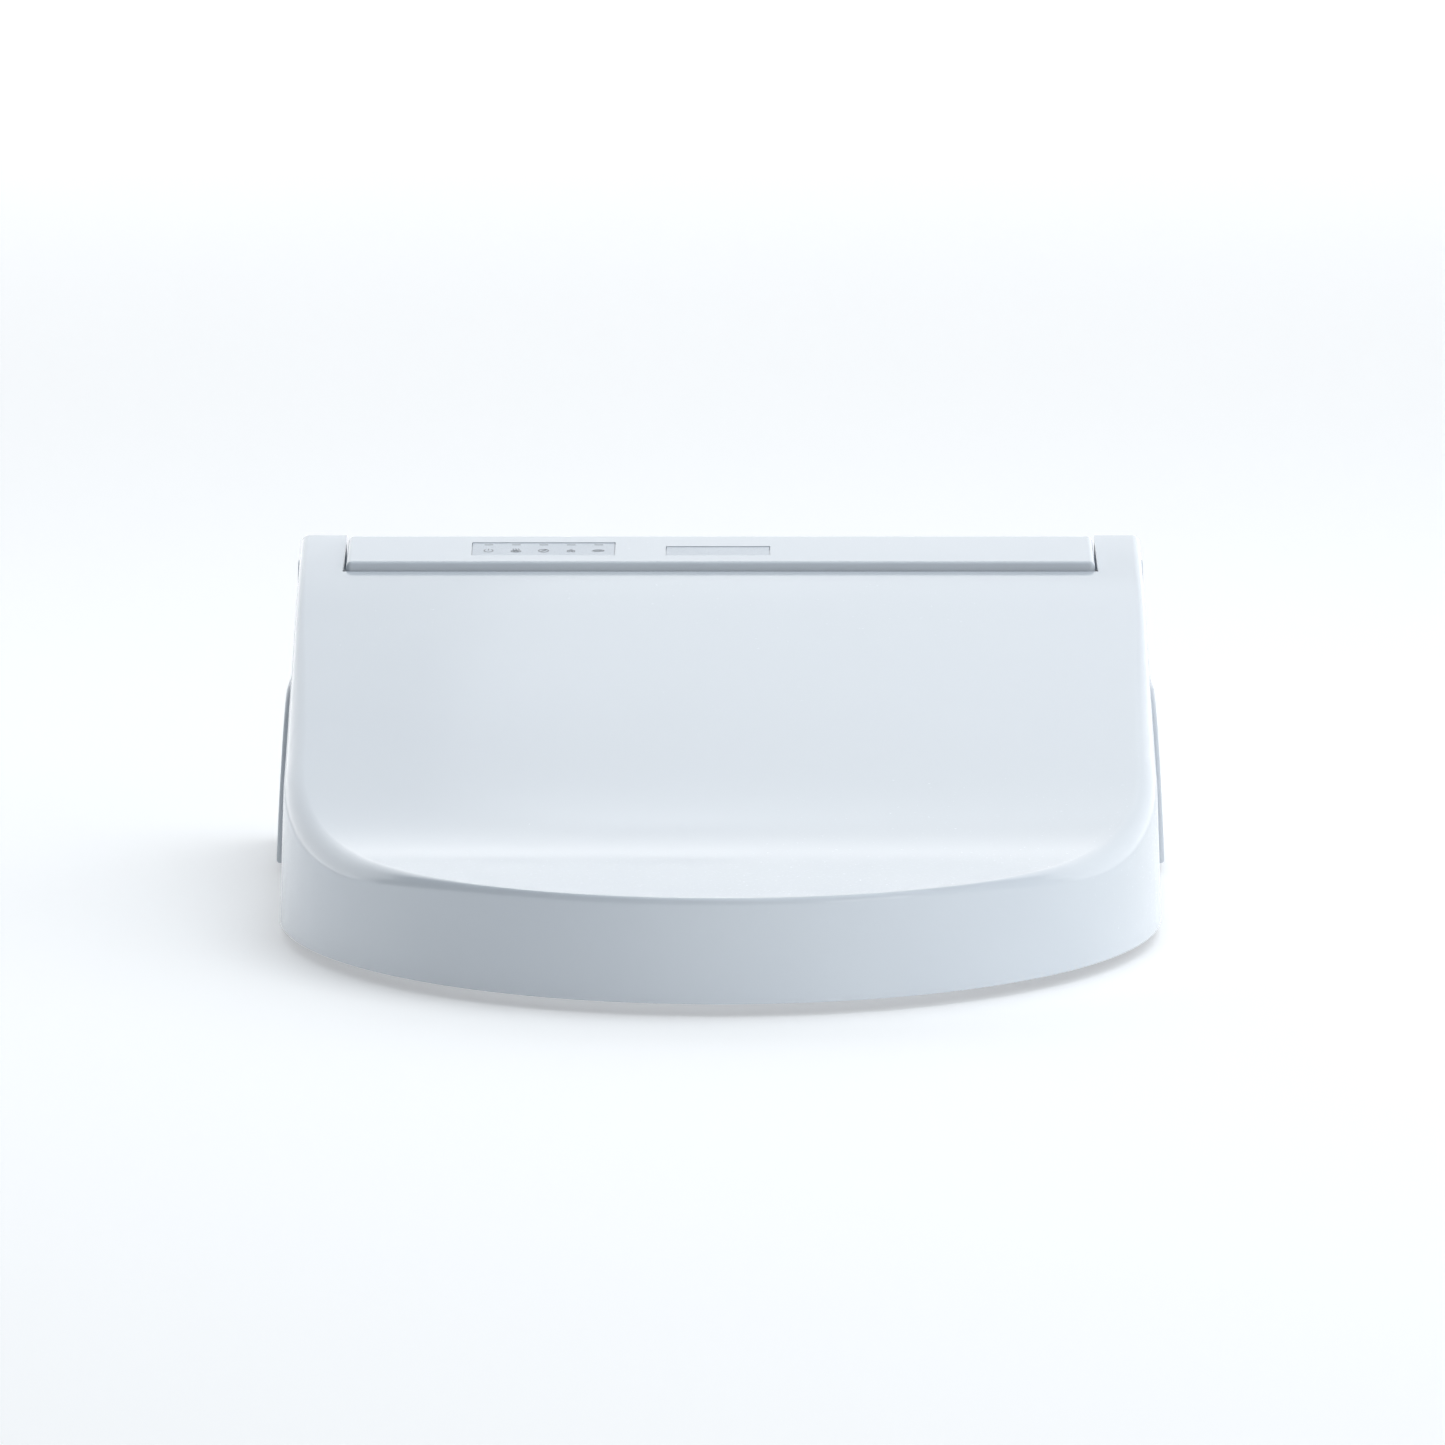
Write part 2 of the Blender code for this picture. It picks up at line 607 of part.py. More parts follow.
def top_cover():
    outer = prism(cover_profile(0, PARTING + GAP), -UNIT_HALF, UNIT_HALF, "X")
    made = piece("top_cover", outer, GLOSS_WHITE)
    room = UNIT_HALF - UNIT_WALL
    cut(made, prism(cover_profile(UNIT_WALL, PARTING - JOG), -room, room, "X"))
    for x, y in BOSSES:
        ceiling = shelf_top(y) - JOG if y < LID_BACK else HEIGHT - 2 * MM
        add(made, rod((x, y), BOSS_R, PARTING + GAP, ceiling, "Z", 16))
        cut(made, rod((x, y), SCREW_R + GAP, PARTING - JOG, PARTING + 16 * MM, "Z", 16))
    for x in (BOARD_X[0] + 5 * MM, BOARD_X[1] - 5 * MM):
        for y in (BOARD_Y[0] + 5 * MM, BOARD_Y[1] - 5 * MM):
            post = (BOARD_Z + BOARD + GAP, shelf_top(y) - JOG)
            add(made, rod((x, y), 3 * MM, *post, "Z", 12))
    for side in (-1, 1):
        through = sorted((side * (room - JOG), side * (UNIT_HALF + JOG)))
        cut(made, rod((HINGE_Y, HINGE_Z), SHAFT_R + 2 * GAP, *through, "X", 24))
    panel = around(PANEL_X, PANEL_HALF), (PANEL_FRONT, PANEL_FRONT + PANEL_DEEP)
    plate = around(PLATE_X, PLATE_HALF), (PANEL_FRONT, PANEL_FRONT + PLATE_DEEP)
    cut(made, strip_recess(*panel, RECESS, -JOG), strip_recess(*plate, RECESS, -JOG))
    lamp_y = around(PANEL_FRONT + PANEL_DEEP - 2.6 * MM, 0.9 * MM)
    for x in lamp_stations():
        cut(made, strip_recess(around(x, 2.3 * MM), lamp_y, UNIT_WALL + JOG, RECESS - 0.4 * MM))
    return made


def cover_insets():
    """The thin printed panel and the blank plate in the strip, and what lights the panel."""
    for name, x, half, deep in (
        ("indicator_panel", PANEL_X, PANEL_HALF, PANEL_DEEP),
        ("name_plate", PLATE_X, PLATE_HALF, PLATE_DEEP),
    ):
        y = (PANEL_FRONT + GAP, PANEL_FRONT + deep - GAP)
        sheet = strip_recess(around(x, half - GAP), y, RECESS - GAP, RECESS - GAP - SHEET)
        piece(name, sheet, FILM)
    lamp_y = PANEL_FRONT + PANEL_DEEP - 2.6 * MM
    bar = UNIT_WALL + GAP
    guide = strip_recess(
        around(PANEL_X, 2 * LAMP_PITCH + 4 * MM), around(lamp_y, 4 * MM), bar + 2.6 * MM, bar
    )
    made = piece("light_guide", guide, CLEAR)
    for x in lamp_stations():
        post = strip_recess(around(x, 2 * MM), around(lamp_y, 0.6 * MM), bar + JOG, RECESS + 0.1 * MM)
        add(made, post)
    under = bar + 2.6 * MM + GAP
    board = strip_recess(
        around(PANEL_X, 2 * LAMP_PITCH + 8 * MM), around(lamp_y - 3 * MM, 10 * MM), under + BOARD, under
    )
    piece("indicator_board", board, LAMINATE)


def front_openings(grow, y):
    """The three openings in the unit's front, widened evenly."""
    shutter = (SHUTTER_Z - SHUTTER_LENGTH - 1.2 * MM, SHUTTER_Z + 2 * MM)
    dryer = (DRYER_Z - DRYER_LENGTH - 1.2 * MM, DRYER_Z + 2 * MM)
    rooms = (
        (0, SHUTTER_HALF + 0.5 * MM, shutter),
        (DRYER_X, DRYER_HALF + 0.5 * MM, dryer),
        (FILTER_X, FILTER_HALF + GAP, (FILTER_LOW - GAP, FILTER_LOW + FILTER_TALL + GAP)),
    )
    return [
        block(around(x, half + grow), y, (low - grow, high + grow)) for x, half, (low, high) in rooms
    ]


def flap_hinges():
    """Middle, half width and height of the two flaps' hinge lines."""
    return ((0, SHUTTER_HALF, SHUTTER_Z), (DRYER_X, DRYER_HALF, DRYER_Z))


def front_fascia():
    face = block(
        (-FASCIA_HALF, FASCIA_HALF),
        (FASCIA_FRONT, FASCIA_FRONT + FASCIA),
        (UNIT_FLOOR + 2 * MM, SHELF_FRONT - 2 * MM),
    )
    made = piece("front_fascia", face, GLOSS_WHITE)
    past = (FASCIA_FRONT - JOG, FASCIA_FRONT + FASCIA + JOG)
    cut(made, *front_openings(0, past))
    for x, half, z in flap_hinges():
        for side in (-1, 1):
            inner = half + 0.5 * MM
            wide = sorted((x + side * inner, x + side * (inner + HINGE_BLOCK)))
            drilled = sorted((x + side * (inner - JOG), x + side * (inner + HINGE_BLOCK + JOG)))
            add(made, block(wide, (FASCIA_FRONT + JOG, FASCIA_FRONT + 5.5 * MM), around(z, 3 * MM)))
            cut(made, rod((FLAP_Y, z), 0.8 * MM + GAP, *drilled, "X", 12))
    cut(made, block(SENSOR_X, past, SENSOR_Z))
    return made


def flap(name, x, half, z, length):
    """A thin door hung from pins at its upper edge."""
    carrier = pivot(name + "_pivot", (x, FLAP_Y, z))
    door = block(
        around(x, half), (FASCIA_FRONT, FASCIA_FRONT + 1.8 * MM), (z - length, z)
    )
    made = piece(name, door, GLOSS_WHITE, carrier)
    reach = half + 0.5 * MM + HINGE_BLOCK - 1 * MM
    add(made, rod((FLAP_Y, z), 1.1 * MM, x - half, x + half, "X", 12))
    add(made, rod((FLAP_Y, z), 0.8 * MM, x - reach, x + reach, "X", 12))
    return made


def base_case():
    outer = block((-UNIT_HALF, UNIT_HALF), (UNIT_FRONT, REAR), (UNIT_FLOOR, PARTING))
    made = piece("base_case", outer, SATIN_WHITE)
    room = UNIT_HALF - UNIT_WALL
    floor = UNIT_FLOOR + UNIT_WALL
    inside = block((-room, room), (UNIT_FRONT + UNIT_WALL, REAR - UNIT_WALL), (floor, PARTING + JOG))
    cut(made, inside)
    cut(made, *front_openings(5 * MM, (UNIT_FRONT - JOG, UNIT_FRONT + UNIT_WALL + JOG))[:2])
    cut(made, front_openings(0, (UNIT_FRONT - JOG, UNIT_FRONT + UNIT_WALL + JOG))[2])
    ledge = block(
        around(FILTER_X, FILTER_HALF + 2 * MM),
        (UNIT_FRONT + JOG, UNIT_FRONT + FILTER_DEEP - 4 * MM),
        (floor - JOG, FILTER_LOW - GAP),
    )
    add(made, ledge)
    for x, y in BOSSES:
        add(made, rod((x, y), BOSS_R, UNIT_FLOOR + JOG, PARTING, "Z", 16))
        cut(made, rod((x, y), SCREW_R + GAP, 0, PARTING + JOG, "Z", 16))
        cut(made, rod((x, y), SCREW_R + 2.3 * MM, 0, UNIT_FLOOR + 2.8 * MM, "Z", 16))
    for side in (-1, 1):
        rail = sorted((side * (BASE_PLATE_HALF + GAP), side * (BASE_PLATE_HALF + 3.3 * MM)))
        add(made, block(rail, (BASE_PLATE_FRONT, BASE_PLATE_BACK), (0.8 * MM, UNIT_FLOOR + JOG)))
        sleeve = sorted((side * (room + JOG), side * (UNIT_HALF + 11 * MM)))
        bore = sorted((side * (UNIT_HALF + 0.6 * MM), side * WIDTH))
        add(made, rod((BUTTON_Y, SIDE_FITTING_Z), BUTTON_R + 2.3 * MM, *sleeve, "X", 24))
        cut(made, rod((BUTTON_Y, SIDE_FITTING_Z), BUTTON_R + GAP, *bore, "X", 24))
        through = sorted((side * (room - JOG), side * (UNIT_HALF + JOG)))
        cut(made, rod((INLET_Y, SIDE_FITTING_Z), 6 * MM + GAP, *through, "X", 24))
    return made


def side_profile(inset, low):
    """Side view of a side cover; its front edge runs parallel to the lid's side edge."""
    edge = side_edge(2 * MM + inset)
    lower = [(edge[0][0], low)] + edge
    top = edge[-1][1]
    return lower + [(SIDE_BACK - inset, top), (SIDE_BACK - inset, low)]


def side_covers():
    for side, hand in ((-1, "left"), (1, "right")):
        inner = UNIT_HALF + GAP
        reach = sorted((side * inner, side * WIDTH / 2))
        room = sorted((side * (inner - JOG), side * (WIDTH / 2 - SIDE_WALL)))
        made = piece(
            "side_cover_" + hand, prism(side_profile(0, UNIT_FLOOR - 1 * MM), *reach, "X"), SATIN_WHITE
        )
        cut(made, prism(side_profile(SIDE_WALL, -JOG), *room, "X"))
        hole = sorted((side * (WIDTH / 2 - SIDE_WALL - JOG), side * (WIDTH / 2 + JOG)))
        cut(made, rod((BUTTON_Y, SIDE_FITTING_Z), BUTTON_R + GAP, *hole, "X", 24))


# ---------------------------------------------------------------- unit: nozzle and its drive
def on_slope(along, above):
    """A side-view point by its station along the nozzle's axis and its height above that axis."""
    at = SHUTTER_AT - OFF_SLOPE * NOZZLE_BELOW + DOWN_SLOPE * along + OFF_SLOPE * above
    return (at.x, at.y)


def slope_rod(start, end, radius, x=0.0, sides=24):
    return tilted_rod((x, *on_slope(start, 0)), (x, *on_slope(end, 0)), radius, sides)


def nozzle_pieces():
    carrier = pivot("nozzle_pivot", (0, *on_slope(NOZZLE_REST, 0)))
    back = NOZZLE_REST - NOZZLE_LENGTH
    joint = NOZZLE_REST - NOZZLE_TIP
    piece("nozzle_tube", slope_rod(back, joint - GAP, NOZZLE_R), STEEL, carrier)
    tip = piece("nozzle_tip", slope_rod(joint, NOZZLE_REST, NOZZLE_R), GLOSS_WHITE, carrier)
    for along in (-4 * MM, -8 * MM):
        at = NOZZLE_REST + along
        bottom, mouth = on_slope(at, NOZZLE_R - 2 * MM), on_slope(at, NOZZLE_R + JOG)
        cut(tip, tilted_rod((0, *bottom), (0, *mouth), 0.8 * MM, 10))


def cradle():
    floor = UNIT_FLOOR + UNIT_WALL + GAP
    front, back = on_slope(CRADLE_FROM, -10 * MM), on_slope(CRADLE_TO, -10 * MM)
    side = [front, on_slope(CRADLE_FROM, 3 * MM), on_slope(CRADLE_TO, 3 * MM), back]
    side += [(back[0], floor), (front[0], floor)]
    made = piece("nozzle_cradle", prism(side, -CRADLE_HALF, CRADLE_HALF, "X"), NATURAL)
    bracket = [
        on_slope(ROLLER_AT + 8 * MM, 0),
        on_slope(ROLLER_AT + 8 * MM, 20 * MM),
        on_slope(ROLLER_AT - 8 * MM, 20 * MM),
        on_slope(ROLLER_AT - 8 * MM, 0),
    ]
    for hand in (-1, 1):
        wide = sorted((hand * (NOZZLE_R + 0.6 * MM), hand * CRADLE_HALF))
        add(made, prism(bracket, *wide, "X"))
    ends = CRADLE_FROM + 20 * MM, CRADLE_TO - 20 * MM
    cut(made, slope_rod(*ends, NOZZLE_R + GAP))
    roof = -NOZZLE_R - 3 * MM
    lower_front, lower_back = on_slope(CRADLE_FROM, roof), on_slope(CRADLE_TO, roof)
    room = [
        (lower_front[0] + 4 * MM, floor - JOG),
        (lower_front[0] + 4 * MM, lower_front[1] + 1 * MM),
        (lower_back[0] - 4 * MM, lower_back[1] - 5 * MM),
        (lower_back[0] - 4 * MM, floor - JOG),
    ]
    cut(made, prism(room, -CRADLE_HALF + 3 * MM, CRADLE_HALF - 3 * MM, "X"))
    axle = rod(on_slope(ROLLER_AT, roller_height()), 1.5 * MM + GAP, -20 * MM, 20 * MM, "X", 12)
    cut(made, axle)
    return made


def roller_height():
    return NOZZLE_R + GAP + ROLLER_R


def drive():
    at = on_slope(ROLLER_AT, roller_height())
    carrier = pivot("drive_roller_pivot", (0, *at))
    roller = piece("drive_roller", rod(at, ROLLER_R, -5 * MM, 5 * MM, "X", 28), RUBBER, carrier)
    add(roller, rod(at, 1.5 * MM, -CRADLE_HALF + 0.5 * MM, CRADLE_HALF + 6 * MM, "X", 12))
    motor = (CRADLE_HALF + GAP, CRADLE_HALF + 24 * MM)
    made = piece("nozzle_motor", rod(at, 12 * MM, *motor, "X", 24), STEEL)
    cut(made, rod(at, 1.5 * MM + GAP, CRADLE_HALF, CRADLE_HALF + 7 * MM, "X", 12))
    valve_at = on_slope(ROLLER_AT - 10 * MM, -8 * MM)
    drum = rod(valve_at, 12 * MM, -CRADLE_HALF - 30 * MM, -CRADLE_HALF - GAP, "X")
    body = piece("flow_selector", drum, NATURAL)
    add(body, rod(valve_at, 9 * MM, -CRADLE_HALF - 48 * MM, -CRADLE_HALF - 29 * MM, "X"))
    for step in (-8 * MM, 8 * MM):
        port = (-CRADLE_HALF - 15 * MM + step, valve_at[0])
        add(body, rod(port, 3 * MM, valve_at[1], valve_at[1] + 20 * MM, "Z", 12))


# ---------------------------------------------------------------- unit: air paths
def blower(word, x):
    """A round housing with an open top, and the bladed wheel that spins on its pin."""
    floor = UNIT_FLOOR + UNIT_WALL + GAP
    at = (x, BLOWER_Y)
    drum = rod(at, BLOWER_R, floor, floor + BLOWER_TALL, "Z", 28)
    housing = piece(word + "_housing", drum, BLACK)
    cut(housing, rod(at, BLOWER_R - 2 * MM, floor + 2 * MM, floor + BLOWER_TALL + JOG, "Z", 28))
    add(housing, rod(at, 6 * MM, floor + JOG, floor + 6 * MM, "Z"))
    add(housing, rod(at, 1.5 * MM, floor + JOG, floor + BLOWER_TALL - 6 * MM, "Z", 12))
    mouth = (x - 10 * MM, x + 10 * MM), (BLOWER_Y - BLOWER_R - JOG, BLOWER_Y)
    cut(housing, block(*mouth, (floor + 8 * MM, floor + BLOWER_TALL - 4 * MM)))
    carrier = pivot(word + "_impeller_pivot", (*at, floor))
    low, high = floor + 6 * MM + GAP, floor + BLOWER_TALL - 5 * MM
    disc = rod(at, BLOWER_R - 5 * MM, low, low + 1.5 * MM, "Z", 28)
    wheel = piece(word + "_impeller", disc, NATURAL, carrier)
    add(wheel, rod(at, 5 * MM, low, high - 3 * MM, "Z", 16))
    for i in range(IMPELLER_BLADES):
        turn = Matrix.Rotation(2 * math.pi * i / IMPELLER_BLADES, 4, "Z")
        blade = block((9 * MM, BLOWER_R - 6 * MM), (-0.6 * MM, 0.6 * MM), (low + 0.7 * MM, high))
        bmesh.ops.transform(blade, matrix=Matrix.Translation((*at, 0)) @ turn, verts=blade.verts)
        add(wheel, blade)
    cut(wheel, rod(at, 1.5 * MM + GAP, low - JOG, high + JOG, "Z", 12))


def dryer_duct():
    """Square channel between the dryer's blower and its outlet, with a heating grid inside."""
    start, end = UNIT_FRONT + UNIT_WALL + 4 * MM, BLOWER_Y - BLOWER_R - 1.2 * MM
    low = UNIT_FLOOR + UNIT_WALL + GAP
    made = piece("dryer_duct", block(around(DRYER_X, 18 * MM), (start, end), (low, 34 * MM)), BLACK)
    cut(made, block(around(DRYER_X, 16 * MM), (start - JOG, end + JOG), (low + 2 * MM, 32 * MM)))
    grid = around(DRYER_X, 16 * MM - GAP), (start + 10 * MM, start + 24 * MM)
    heater = piece("dryer_heater", block(*grid, (low + 2 * MM + GAP, 32 * MM - GAP)), FOIL_FINISH)
    for i in range(4):
        x = DRYER_X + (i - 1.5) * 7.5 * MM
        cut(heater, block(around(x, 2.5 * MM), (start, end), (low + 4.5 * MM, 29.5 * MM)))


def filter_cartridge():
    """Slide-out odour filter: a frame with slots, and a finger recess in its face."""
    carrier = pivot("filter_pivot", (FILTER_X, FASCIA_FRONT, FILTER_LOW))
    y = (FASCIA_FRONT, FASCIA_FRONT + FILTER_DEEP)
    body = block(around(FILTER_X, FILTER_HALF), y, (FILTER_LOW, FILTER_LOW + FILTER_TALL))
    made = piece("filter_cartridge", body, BLACK, carrier)
    for i in range(5):
        x = FILTER_X + (i - 2) * 7 * MM
        past = (FILTER_LOW - JOG, FILTER_LOW + FILTER_TALL + JOG)
        cut(made, block(around(x, 2.2 * MM), (y[0] + 6 * MM, y[1] - 3 * MM), past))
    grip = (y[0] - JOG, y[0] + 3 * MM)
    cut(made, block(around(FILTER_X, 12 * MM), grip, around(FILTER_LOW + FILTER_TALL / 2, 4 * MM)))


# ---------------------------------------------------------------- unit: water, power and fixings
def dampers():
    for side, word in ((-1, "lid"), (1, "seat")):
        inner = UNIT_HALF - UNIT_WALL - GAP
        length = 50 * MM
        body = sorted((side * inner, side * (inner - length)))
        made = piece(word + "_damper", rod((HINGE_Y, HINGE_Z), 9.5 * MM, *body, "X", 24), BLACK)
        flange = sorted((side * inner, side * (inner - 3.5 * MM)))
        add(made, block(flange, around(HINGE_Y, 13 * MM), (HINGE_Z - 15 * MM, HINGE_Z + 8 * MM)))
        bore = sorted((side * (inner + JOG), side * (inner - 38 * MM)))
        cut(made, rod((HINGE_Y, HINGE_Z), SHAFT_R + GAP, *bore, "X", 24))


def water_parts():
    floor = UNIT_FLOOR + UNIT_WALL + GAP
    room = UNIT_HALF - UNIT_WALL - GAP
    x, y = (room - 50 * MM, room - 2 * MM), (UNIT_FRONT + 24 * MM, REAR - 27 * MM)
    tank_top = PARTING - 4 * MM
    tank = piece("water_tank", block(x, y, (floor, tank_top)), NATURAL)
    wall = 2 * MM
    inside = (x[0] + wall, x[1] - wall), (y[0] + wall, y[1] - wall)
    cut(tank, block(*inside, (floor + wall, tank_top + JOG)))
    lid = piece("tank_lid", block(x, y, (tank_top + GAP, tank_top + 3 * MM)), NATURAL)
    middle = ((x[0] + x[1]) / 2, (y[0] + y[1]) / 2)
    add(lid, rod((middle[0], y[0] + 14 * MM), 7 * MM, tank_top + 2 * MM, tank_top + 14 * MM, "Z"))
    add(lid, rod((middle[0], y[1] - 14 * MM), 4 * MM, tank_top + 2 * MM, tank_top + 12 * MM, "Z"))
    low = floor + wall + GAP
    leg = rod((middle[0] - 10 * MM, middle[1]), 3.5 * MM, low, low + 34 * MM, "Z", 16)
    coil = piece("water_heater", leg, STEEL)
    add(coil, rod((middle[0] + 10 * MM, middle[1]), 3.5 * MM, low, low + 34 * MM, "Z", 16))
    add(coil, rod((middle[1], low + 30 * MM), 3.2 * MM, middle[0] - 10 * MM, middle[0] + 10 * MM, "X", 16))
    valve_x = (-room, -room + 31 * MM)
    valve_y = around(INLET_Y, 16 * MM)
    valve = piece("inlet_valve", block(valve_x, valve_y, (floor, floor + 32 * MM)), NATURAL)
    add(valve, rod((-room + 15.5 * MM, INLET_Y), 10 * MM, floor + 30 * MM, floor + 48 * MM, "Z"))
    stub_x = -(UNIT_HALF + 11.3 * MM)
    elbow = rod((INLET_Y, SIDE_FITTING_Z), 6 * MM, stub_x, -room - 0.6 * MM, "X", 24)
    made = piece("inlet_elbow", elbow, BRASS)
    add(made, rod((stub_x, INLET_Y), 9 * MM, UNIT_FLOOR, SIDE_FITTING_Z + 8 * MM, "Z", 24))
    cut(made, rod((stub_x, INLET_Y), 6 * MM, UNIT_FLOOR - JOG, UNIT_FLOOR + 14 * MM, "Z", 24))


def cord_gland():
    """Where the mains cord would enter, on the right."""
    room = UNIT_HALF - UNIT_WALL
    at = (INLET_Y, SIDE_FITTING_Z)
    made = piece("cord_gland", rod(at, 6 * MM, room, UNIT_HALF + 14 * MM, "X", 24), RUBBER)
    add(made, rod(at, 9 * MM, UNIT_HALF + GAP, UNIT_HALF + 4 * MM, "X", 24))
    cut(made, rod(at, 3.3 * MM, room - JOG, UNIT_HALF + 15 * MM, "X", 24))


def side_controls():
    """Release button on the right, drain knob on the left, each in its sleeve."""
    outer = WIDTH / 2 - 1 * MM
    at = (BUTTON_Y, SIDE_FITTING_Z)
    for side, name, stop in ((1, "release_button", 5 * MM), (-1, "drain_knob", 1.2 * MM)):
        ends = sorted((side * (UNIT_HALF + stop), side * outer))
        carrier = pivot(name + "_pivot", (side * outer, *at))
        made = piece(name, rod(at, BUTTON_R, *ends, "X", 28), SATIN_WHITE, carrier)
        dish = sorted((side * (outer - 1 * MM), side * (outer + JOG)))
        if side > 0:
            cut(made, rod(at, BUTTON_R - 2.5 * MM, *dish, "X", 28))
        else:
            cut(made, block(dish, around(at[0], 1.5 * MM), around(at[1], BUTTON_R - 2 * MM)))


def main_board():
    made = piece("main_board", block(BOARD_X, BOARD_Y, (BOARD_Z, BOARD_Z + BOARD)), LAMINATE)
    middle = (BOARD_Y[0] + BOARD_Y[1]) / 2
    for x, size, tall in ((18, 9, 9), (42, 7, 12), (64, 8, 7)):
        at = BOARD_X[0] + x * MM
        below = (BOARD_Z - tall * MM, BOARD_Z + JOG)
        add(made, block(around(at, size * MM), around(middle, 10 * MM), below))


def body_sensor():
    y = (FASCIA_FRONT, FASCIA_FRONT + FASCIA)
    x = (SENSOR_X[0] + GAP, SENSOR_X[1] - GAP)
    piece("body_sensor", block(x, y, (SENSOR_Z[0] + GAP, SENSOR_Z[1] - GAP)), SMOKED)


def case_screws_and_feet():
    words = ("left_front", "left_rear", "right_front", "right_rear")
    for (x, y), word in zip(BOSSES, words):
        head = (UNIT_FLOOR + GAP, UNIT_FLOOR + 2.5 * MM)
        made = piece("case_screw_" + word, rod((x, y), SCREW_R + 1.9 * MM, *head, "Z", 16), STEEL)
        add(made, rod((x, y), SCREW_R, UNIT_FLOOR + 2 * MM, PARTING + 15 * MM, "Z", 12))
    for side, hand in ((-1, "left"), (1, "right")):
        for y, word in ((UNIT_FRONT + 14 * MM, "front"), (REAR - 15 * MM, "rear")):
            foot = rod((side * (UNIT_HALF - 40 * MM), y), PAD_R, 0, UNIT_FLOOR - GAP, "Z")
            piece("unit_foot_" + word + "_" + hand, foot, RUBBER)


def mounting_plate():
    y = (BASE_PLATE_FRONT, BASE_PLATE_BACK)
    outline = block((-BASE_PLATE_HALF, BASE_PLATE_HALF), y, (0, BASE_PLATE))
    made = piece("mounting_plate", outline, SATIN_WHITE)
    middle = (y[0] + y[1]) / 2
    for side, hand in ((-1, "left"), (1, "right")):
        x = side * BOLT_HALF
        pocket = around(x, 16 * MM), around(middle, 40 * MM)
        cut(made, block(*pocket, (1.8 * MM, BASE_PLATE + JOG)))
        cut(made, block(around(x, SLOT_HALF), around(middle, 32 * MM), (-JOG, 3 * MM)))
        slide = around(x, 16 * MM - GAP), around(middle + 6 * MM, 18 * MM)
        washer = piece("bolt_adjuster_" + hand, block(*slide, (1.8 * MM + GAP, BASE_PLATE)), BLACK)
        cut(washer, rod((x, middle + 6 * MM), SLOT_HALF - 0.4 * MM, 0, BASE_PLATE + JOG, "Z"))


# ---------------------------------------------------------------- assembly
mounting_plate()
base_case()
top_cover()
cover_insets()
front_fascia()
side_covers()
body_sensor()
main_board()
water_parts()
cord_gland()
dampers()
cradle()
drive()
nozzle_pieces()
flap("shutter", 0, SHUTTER_HALF, SHUTTER_Z, SHUTTER_LENGTH)
flap("dryer_flap", DRYER_X, DRYER_HALF, DRYER_Z, DRYER_LENGTH)
blower("deodoriser", FILTER_X)
blower("dryer", DRYER_X)
dryer_duct()
filter_cartridge()
side_controls()
case_screws_and_feet()
seat_pieces()
lid_pieces()
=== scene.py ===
# %% [markdown]
# # An electric bidet seat, finished for a picture
#
# The frame is the working model: every shell, hinge and valve of the seat, already at full
# size and already cut into the bodies that move. This script only dresses it. It makes the
# lid, the seat, the side caps, the case's top and the small printed marks in finer meshes,
# and it gives each plastic, rubber and metal a surface of its own.
#
# Loading comes first, because every later place is read from a piece of the frame.

# %% Load the frame
import json
import math

import bmesh
import bpy
from mathutils import Matrix, Vector


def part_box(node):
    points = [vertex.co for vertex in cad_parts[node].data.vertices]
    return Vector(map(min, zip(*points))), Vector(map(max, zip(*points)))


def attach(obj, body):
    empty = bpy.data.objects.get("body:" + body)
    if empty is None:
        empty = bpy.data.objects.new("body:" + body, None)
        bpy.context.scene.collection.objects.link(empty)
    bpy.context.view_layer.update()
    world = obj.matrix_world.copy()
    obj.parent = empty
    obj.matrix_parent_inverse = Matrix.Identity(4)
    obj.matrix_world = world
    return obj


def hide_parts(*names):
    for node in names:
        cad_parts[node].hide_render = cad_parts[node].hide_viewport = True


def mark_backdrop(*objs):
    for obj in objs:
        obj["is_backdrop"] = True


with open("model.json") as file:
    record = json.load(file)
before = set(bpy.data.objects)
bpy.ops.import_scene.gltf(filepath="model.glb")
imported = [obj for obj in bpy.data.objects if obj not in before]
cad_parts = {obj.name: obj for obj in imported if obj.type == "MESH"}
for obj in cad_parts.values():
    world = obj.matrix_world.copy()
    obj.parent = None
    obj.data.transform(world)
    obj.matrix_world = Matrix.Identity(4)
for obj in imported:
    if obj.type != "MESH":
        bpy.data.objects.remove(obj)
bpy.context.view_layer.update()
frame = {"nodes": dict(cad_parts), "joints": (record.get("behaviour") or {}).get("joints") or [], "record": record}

MM = 0.001

# %% [markdown]
# ## The camera
#
# The seat is looked at straight from the front and from a little above. A long lens from
# far away keeps the sides almost parallel, as a catalogue picture does. The camera could be
# aimed by a constraint, but a place worked out from one angle and one distance is easier to
# read: it stands on a line that rises from a point inside the seat.

# %% Place the camera
VIEW_RISE = math.radians(7.5)
VIEW_FAR = 4.5
AIM = Vector((0, 0, 0.065))
SHIFT_RIGHT = 0.001384
SHIFT_UP = 0.032318

camera_data = bpy.data.cameras.new("camera")
camera_data.sensor_width = 36
camera_data.lens = 264.85
camera_data.shift_x = SHIFT_RIGHT
camera_data.shift_y = SHIFT_UP
camera_data.clip_end = 60
camera = bpy.data.objects.new("camera", camera_data)
away = Vector((0, -math.cos(VIEW_RISE), math.sin(VIEW_RISE)))
camera.location = AIM + VIEW_FAR * away
camera.rotation_euler = (math.pi / 2 - VIEW_RISE, 0, 0)
bpy.context.scene.collection.objects.link(camera)
bpy.context.scene.camera = camera
print("camera", round(VIEW_FAR, 2), "m away,", round(math.degrees(VIEW_RISE), 1), "degrees up")

